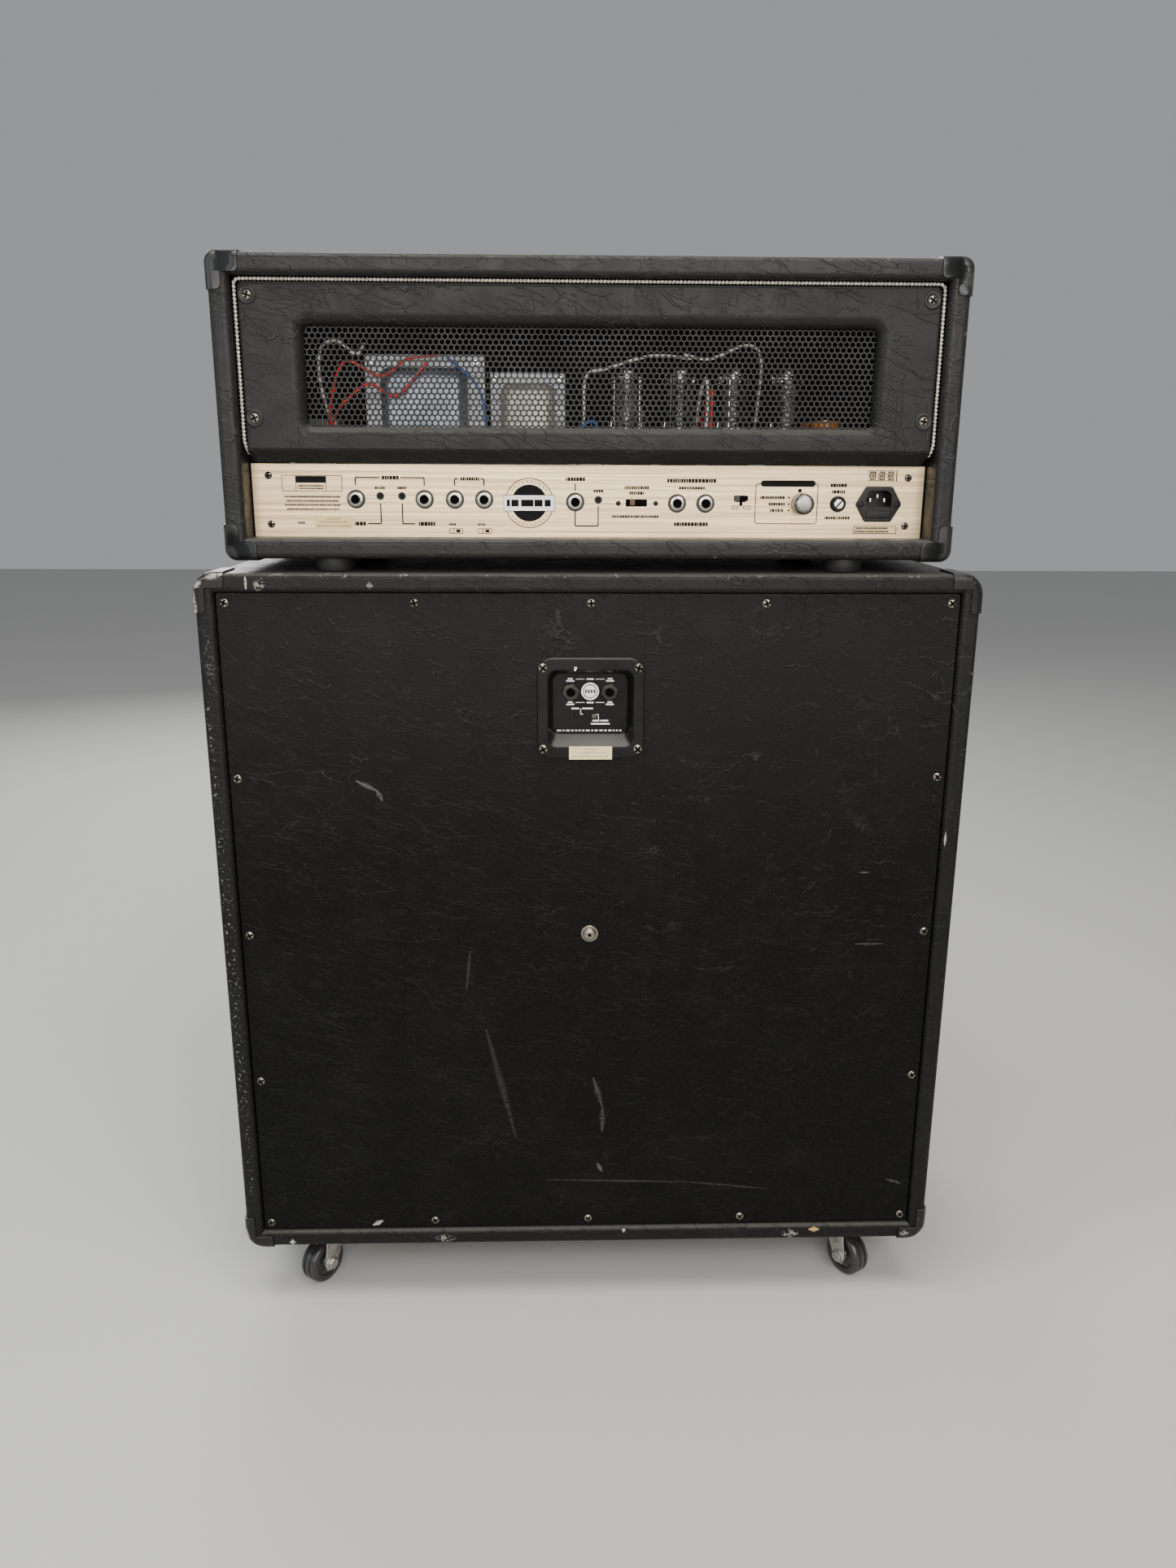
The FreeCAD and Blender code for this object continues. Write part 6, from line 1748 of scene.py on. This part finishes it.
def build_board():
    """Board, capacitors in brown sleeves, pots and the wires above the deck."""
    repaint("head_chassis", plain("chassis_steel", (0.10, 0.10, 0.105), 0.42, 0.7, tint=0.4))
    green = plain("board_resin", (0.02, 0.10, 0.045), 0.4, tint=0.3)
    sleeve = plain("capacitor_sleeve", (0.75, 0.24, 0.05), 0.4, tint=0.35)
    shape = brick((-302, -80, 854), (302, 85, 856), 0.4)
    can = turned([(16, 0), (16, 44), (15.2, 46.6), (14, 47.2), (13, 46.6), (0.01, 46.6)], 36)
    for spot in [upright((-248, y, DECK_Z)) for y in (40, -10)]:
        shape.join(can, spot, mark=1)
        shape.join(turned([(12.6, 46.4), (12.6, 47.6), (0, 47.6)], 28), spot, mark=2)
    pot = turned([(8, 0), (8, 15.4), (7.4, 16.2), (3.2, 16.4), (3.1, 0)], 30)
    for index in range(5):
        shape.join(pot, facing((30 - 48 * index, -92.2, 884), -1), mark=2)
    x, z = spot_of("mode_turn")
    shape.join(pot, facing((x, 115.2, z)), mark=2)
    small = turned([(6, 0), (6, 12), (2.6, 12.3), (2.5, 0)], 24)
    for name in TRIMS:
        x, z = spot_of(name + "_turn")
        shape.join(small, facing((x, 119.1, z)), mark=2)
    piece("circuit_board_parts", shape, [green, sleeve, NICKEL], "head",
          ["circuit_board"])
    wires = {"red": (0.75, 0.03, 0.02), "blue": (0.05, 0.16, 0.60), "white": (0.88, 0.86, 0.80),
             "yellow": (0.55, 0.34, 0.03)}
    routes = {
        "red": [[(256, 60, 915), (258, 92, 958), (240, 104, 1012), (205, 100, 1000),
                 (178, 98, 1016), (150, 94, 1020)],
                [(262, 70, 915), (252, 100, 960), (230, 106, 984), (214, 104, 992),
                 (190, 99, 982), (160, 96, 1013)],
                [(-110, 20, 915), (-116, 60, 960), (-120, 102, 990), (-120, 104, 950),
                 (-122, 96, 915)]],
        "blue": [[(100, 78, 915), (102, 96, 950), (110, 100, 990), (140, 96, 1018)],
                 [(24, 80, 915), (20, 98, 940), (-4, 104, 958), (-14, 96, 915)]],
        "white": [[(244, 62, 915), (262, 96, 980), (262, 104, 1022), (246, 104, 1032),
                   (228, 102, 1020), (220, 96, 1030)],
                  [(-112, 30, 915), (-110, 80, 975), (-114, 104, 1000), (-116, 104, 965),
                   (-110, 98, 915)],
                  [(-172, 20, 915), (-172, 70, 985), (-166, 104, 1022), (-150, 104, 1030),
                   (-118, 100, 1018), (-92, 96, 1022)],
                  [(10, 60, 915), (6, 92, 960), (4, 104, 1000), (-16, 104, 1008),
                   (-60, 103, 1020), (-100, 100, 1018)]],
        "yellow": [[(12, 82, 915), (16, 100, 930), (34, 104, 926), (48, 96, 915)]]}
    for colour, paths in routes.items():
        shape = Shape()
        for path in paths:
            shape.join(swept(smoothed(path, 12), 1.5, 10))
        look = plain("wire_" + colour, wires[colour], 0.4, tint=0.2)
        piece("inner_wires_" + colour, shape, look, "head")


def smoothed(path, parts):
    """Catmull-Rom curve through the points."""
    points = [Vector(point) for point in path]
    points = [points[0] * 2 - points[1]] + points + [points[-1] * 2 - points[-2]]
    result = []
    for index in range(1, len(points) - 2):
        a, b, c, e = points[index - 1:index + 3]
        for step in range(parts):
            t = step / parts
            result.append(0.5 * ((2 * b) + (c - a) * t + (2 * a - 5 * b + 4 * c - e) * t * t
                                 + (3 * b - a - 3 * c + e) * t ** 3))
    result.append(points[-2])
    return result


build_tubes()
build_transformers()
build_board()


# ------------------------------------------------------------------ head front and top
def dial_digit(ink, number, x, z, y):
    """Plain seven-stroke figure printed on the front panel, read from the -Y side."""
    strokes = {"a": ((0, 1), (1, 1)), "b": ((1, 1), (1, 0.5)), "c": ((1, 0.5), (1, 0)),
               "d": ((0, 0), (1, 0)), "e": ((0, 0), (0, 0.5)), "f": ((0, 0.5), (0, 1)),
               "g": ((0, 0.5), (1, 0.5))}
    half = 0.18
    width, height = 1.6, 3.0
    for name in {0: "abcdef", 2: "abged", 4: "fgbc", 6: "afgedc", 8: "abcdefg", 1: "bc"}[number]:
        across, up = [sorted(values) for values in zip(*strokes[name])]
        low_x, high_x = x + (0.5 - across[1]) * width, x + (0.5 - across[0]) * width
        low_z, high_z = z + (up[0] - 0.5) * height, z + (up[1] - 0.5) * height
        outline = [(low_x - half, low_z - half), (high_x + half, low_z - half),
                   (high_x + half, high_z + half), (low_x - half, high_z + half)]
        ink.skin([at(outline, y + 0.2), at(outline, y - 0.12)])


def build_front_panel():
    """Brushed panel with knobs, dials numbered 0 to 10, rockers and lamp; the input jack comes with the rear
    jacks.
    """
    repaint("front_panel", brushed("front_brushed", (0.76, 0.76, 0.77), 0.32))
    ink = Shape()
    y = FRONT_Y
    row = 884
    lamp = facing((240, y, row), -1)
    rockers = (268, 296)
    knob = knurled_knob(12, 14.9, 1.5, skirt=4)
    for name in ("presence", "treble", "middle", "bass", "volume"):
        x, z = spot_of(name + "_turn")
        shape = Shape().join(knob, facing((x, y, z), -1))
        shape.join(brick((x - 0.5, y - 16.6, z + 3), (x + 0.5, y - 14.6, z + 8.2), 0.2), mark=1)
        piece(name + "_knob_shape", shape, [CHROME, PRINT_BLACK], name + "_knob",
              [name + "_knob"], smooth=30)
        for step in range(11):
            angle = math.radians(240 - 30 * step)
            ink.join(dial_tick(x, y, z, angle, 14.2, 16.4 if step % 2 else 17.2))
            if step % 2 == 0:
                figures = [1, 0] if step == 10 else [step]
                for place, figure in enumerate(figures):
                    shift = (place - (len(figures) - 1) / 2) * 2.4
                    dial_digit(ink, figure, x - 20.2 * math.cos(angle) - shift,
                               z + 20.2 * math.sin(angle), y)
    for x in rockers:
        print_box(ink, (x - 9.5, row - 15), (x + 9.5, row + 15), 0.5, y, side=-1, radius=2)
    print_run(ink, [(-300, 866), (-270, 866)], 0.5, y, -1)
    piece("front_panel_ink", ink, PRINT_BLACK, "head")
    bezel = turned([(9, 0), (9, 1.2), (8.2, 2.4), (7.1, 2.6), (7.0, 0)], 40, bored=True)
    piece("lamp_bezel", Shape().join(bezel, lamp), CHROME, "head")
    lens_look = Look("lamp_lens", (0.55, 0.02, 0.015), 0.15, transmission_weight=0.35)
    lens_look.bump(lens_look.waves(500), 0.4, 0.0005)
    lens_look.paint(lens_look.blend(lens_look.noise(200, 2), (0.62, 0.03, 0.02),
                                    (0.38, 0.01, 0.01)))
    lens = turned([(6, -16), (6, 0), (6.9, 0.2), (6.9, 1.6), (5.6, 3.0), (3.0, 3.9),
                   (0.01, 4.0)], 40, lobes=20, depth=0.25, span=(0.1, 3.2))
    piece("lamp_lens_shape", Shape().join(lens, lamp), lens_look, "head",
          ["pilot_lamp"])
    for name in ("power", "standby"):
        node = name + "_rocker"
        low, high = extent(node)
        x = (low.x + high.x) / 2
        profile = []
        for share in [step / 12 for step in range(13)]:
            dip = 1.1 + 1.32 * math.sin(math.pi * share) - 1.1 * abs(2 * share - 1) ** 3
            profile.append((low.y + dip, low.z + (high.z - low.z) * share))
        rings = []
        for px, inset in ((low.x, 0.5), (low.x + 0.4, 0), (high.x - 0.4, 0), (high.x, 0.5)):
            ring = [(px, py + inset, pz) for py, pz in profile]
            ring += [(px, high.y - inset, high.z - inset - 1.4),
                     (px, high.y - inset, low.z + inset + 1.4)]
            rings.append(ring)
        shape = Shape().skin(rings)
        shape.join(brick((x - 0.4, low.y + 1.0, high.z - 8),
                         (x + 0.4, low.y + 1.7, high.z - 3.6), 0.1), mark=1)
        piece(node + "_shape", shape, [SATIN_BLACK, PRINT_WHITE], node, [node])
    frame_shape = Shape()
    for x in rockers:
        frame_shape.join(slab([rect_loop((x, row), 17, 27, 1.8, 4),
                               rect_loop((x, row), 13.2, 23.4, 0.8, 4, hole=True)],
                              y + 0.2, y - 1.5, 0.5, 0, 3))
    piece("rocker_frames", frame_shape, DISH_PLASTIC, "head")


def dial_tick(x, y, z, angle, near, far):
    """Radial printed tick round a front knob."""
    along = Vector((-math.cos(angle), math.sin(angle)))
    across = Vector((-along.y, along.x)) * 0.25
    outline = [Vector((x, z)) + along * reach + across * side
               for reach, side in ((near, -1), (far, -1), (far, 1), (near, 1))]
    return Shape().skin([at(outline, y + 0.2), at(outline, y - 0.12)])


def build_feet():
    """Four rubber feet under the head."""
    foot = turned([(0.01, 0.2), (13.5, 0.2), (16.4, 0.5), (17.2, 1.4), (18.2, 6), (19, 11.8),
                   (18.8, 13), (0.01, 13)], 48)
    shape = Shape()
    for sx, sy in CORNERS:
        shape.join(foot, upright((sx * 250, 25 + sy * 118, 816)))
    piece("head_foot_set", shape, RUBBER, "head", ["head_feet"])


def build_strap():
    """Moulded strap handle: a soft band bowed between two riveted metal ends."""
    low, high = extent("head_handle_strap")
    base = low.z
    middle_y = (low.y + high.y) / 2
    half = (high.x - low.x) / 2
    rise = high.z - base
    rings = []
    for x in [-half + half * step / 42 for step in range(85)]:
        share = min(1, max(0, (half - abs(x) - 26) / 34))
        lift = (rise - 5) * (share * share * (3 - 2 * share))
        ring = []
        for angle in [TAU * turn / 28 for turn in range(28)]:
            ca, sa = math.cos(angle), math.sin(angle)
            py = (12.6 + 0.4 * share) * math.copysign(abs(ca) ** 0.35, ca)
            pz = 2.5 * math.copysign(abs(sa) ** 0.6, sa)
            ridge = 0.11 * math.sin(abs(py) * 1.5) if abs(py) < 10 and sa > 0 else 0
            ring.append((x, middle_y + py, base + lift + 2.45 + pz + ridge))
        rings.append(ring)
    leather = plain("strap_vinyl", (0.020, 0.019, 0.019), 0.46, grain=420, depth=0.0005)
    shape = Shape().skin(rings)
    piece("head_strap", shape, leather, "head", ["head_handle_strap"], smooth=60)
    caps = Shape()
    for side in (-1, 1):
        centre_x = side * (half - 17)
        rings = []
        for step in range(-8, 9):
            edge = 1 - max(0, abs(step) - 6) / 4
            wide = 15.68 if edge < 1 else 16
            rings.append([(centre_x + 2 * step, middle_y + wide * math.cos(angle),
                           base + 7.8 * edge * math.sin(angle) ** 0.45)
                          for angle in [math.pi * turn / 8 for turn in range(9)]])
        caps.skin(rings)
        caps.join(phillips(4.2, 1.2), upright((centre_x, middle_y, base + 6.8)))
    piece("head_strap_ends", caps, CHROME, "head", ["head_handle_ends"], smooth=50)


build_front_panel()
build_feet()
build_strap()
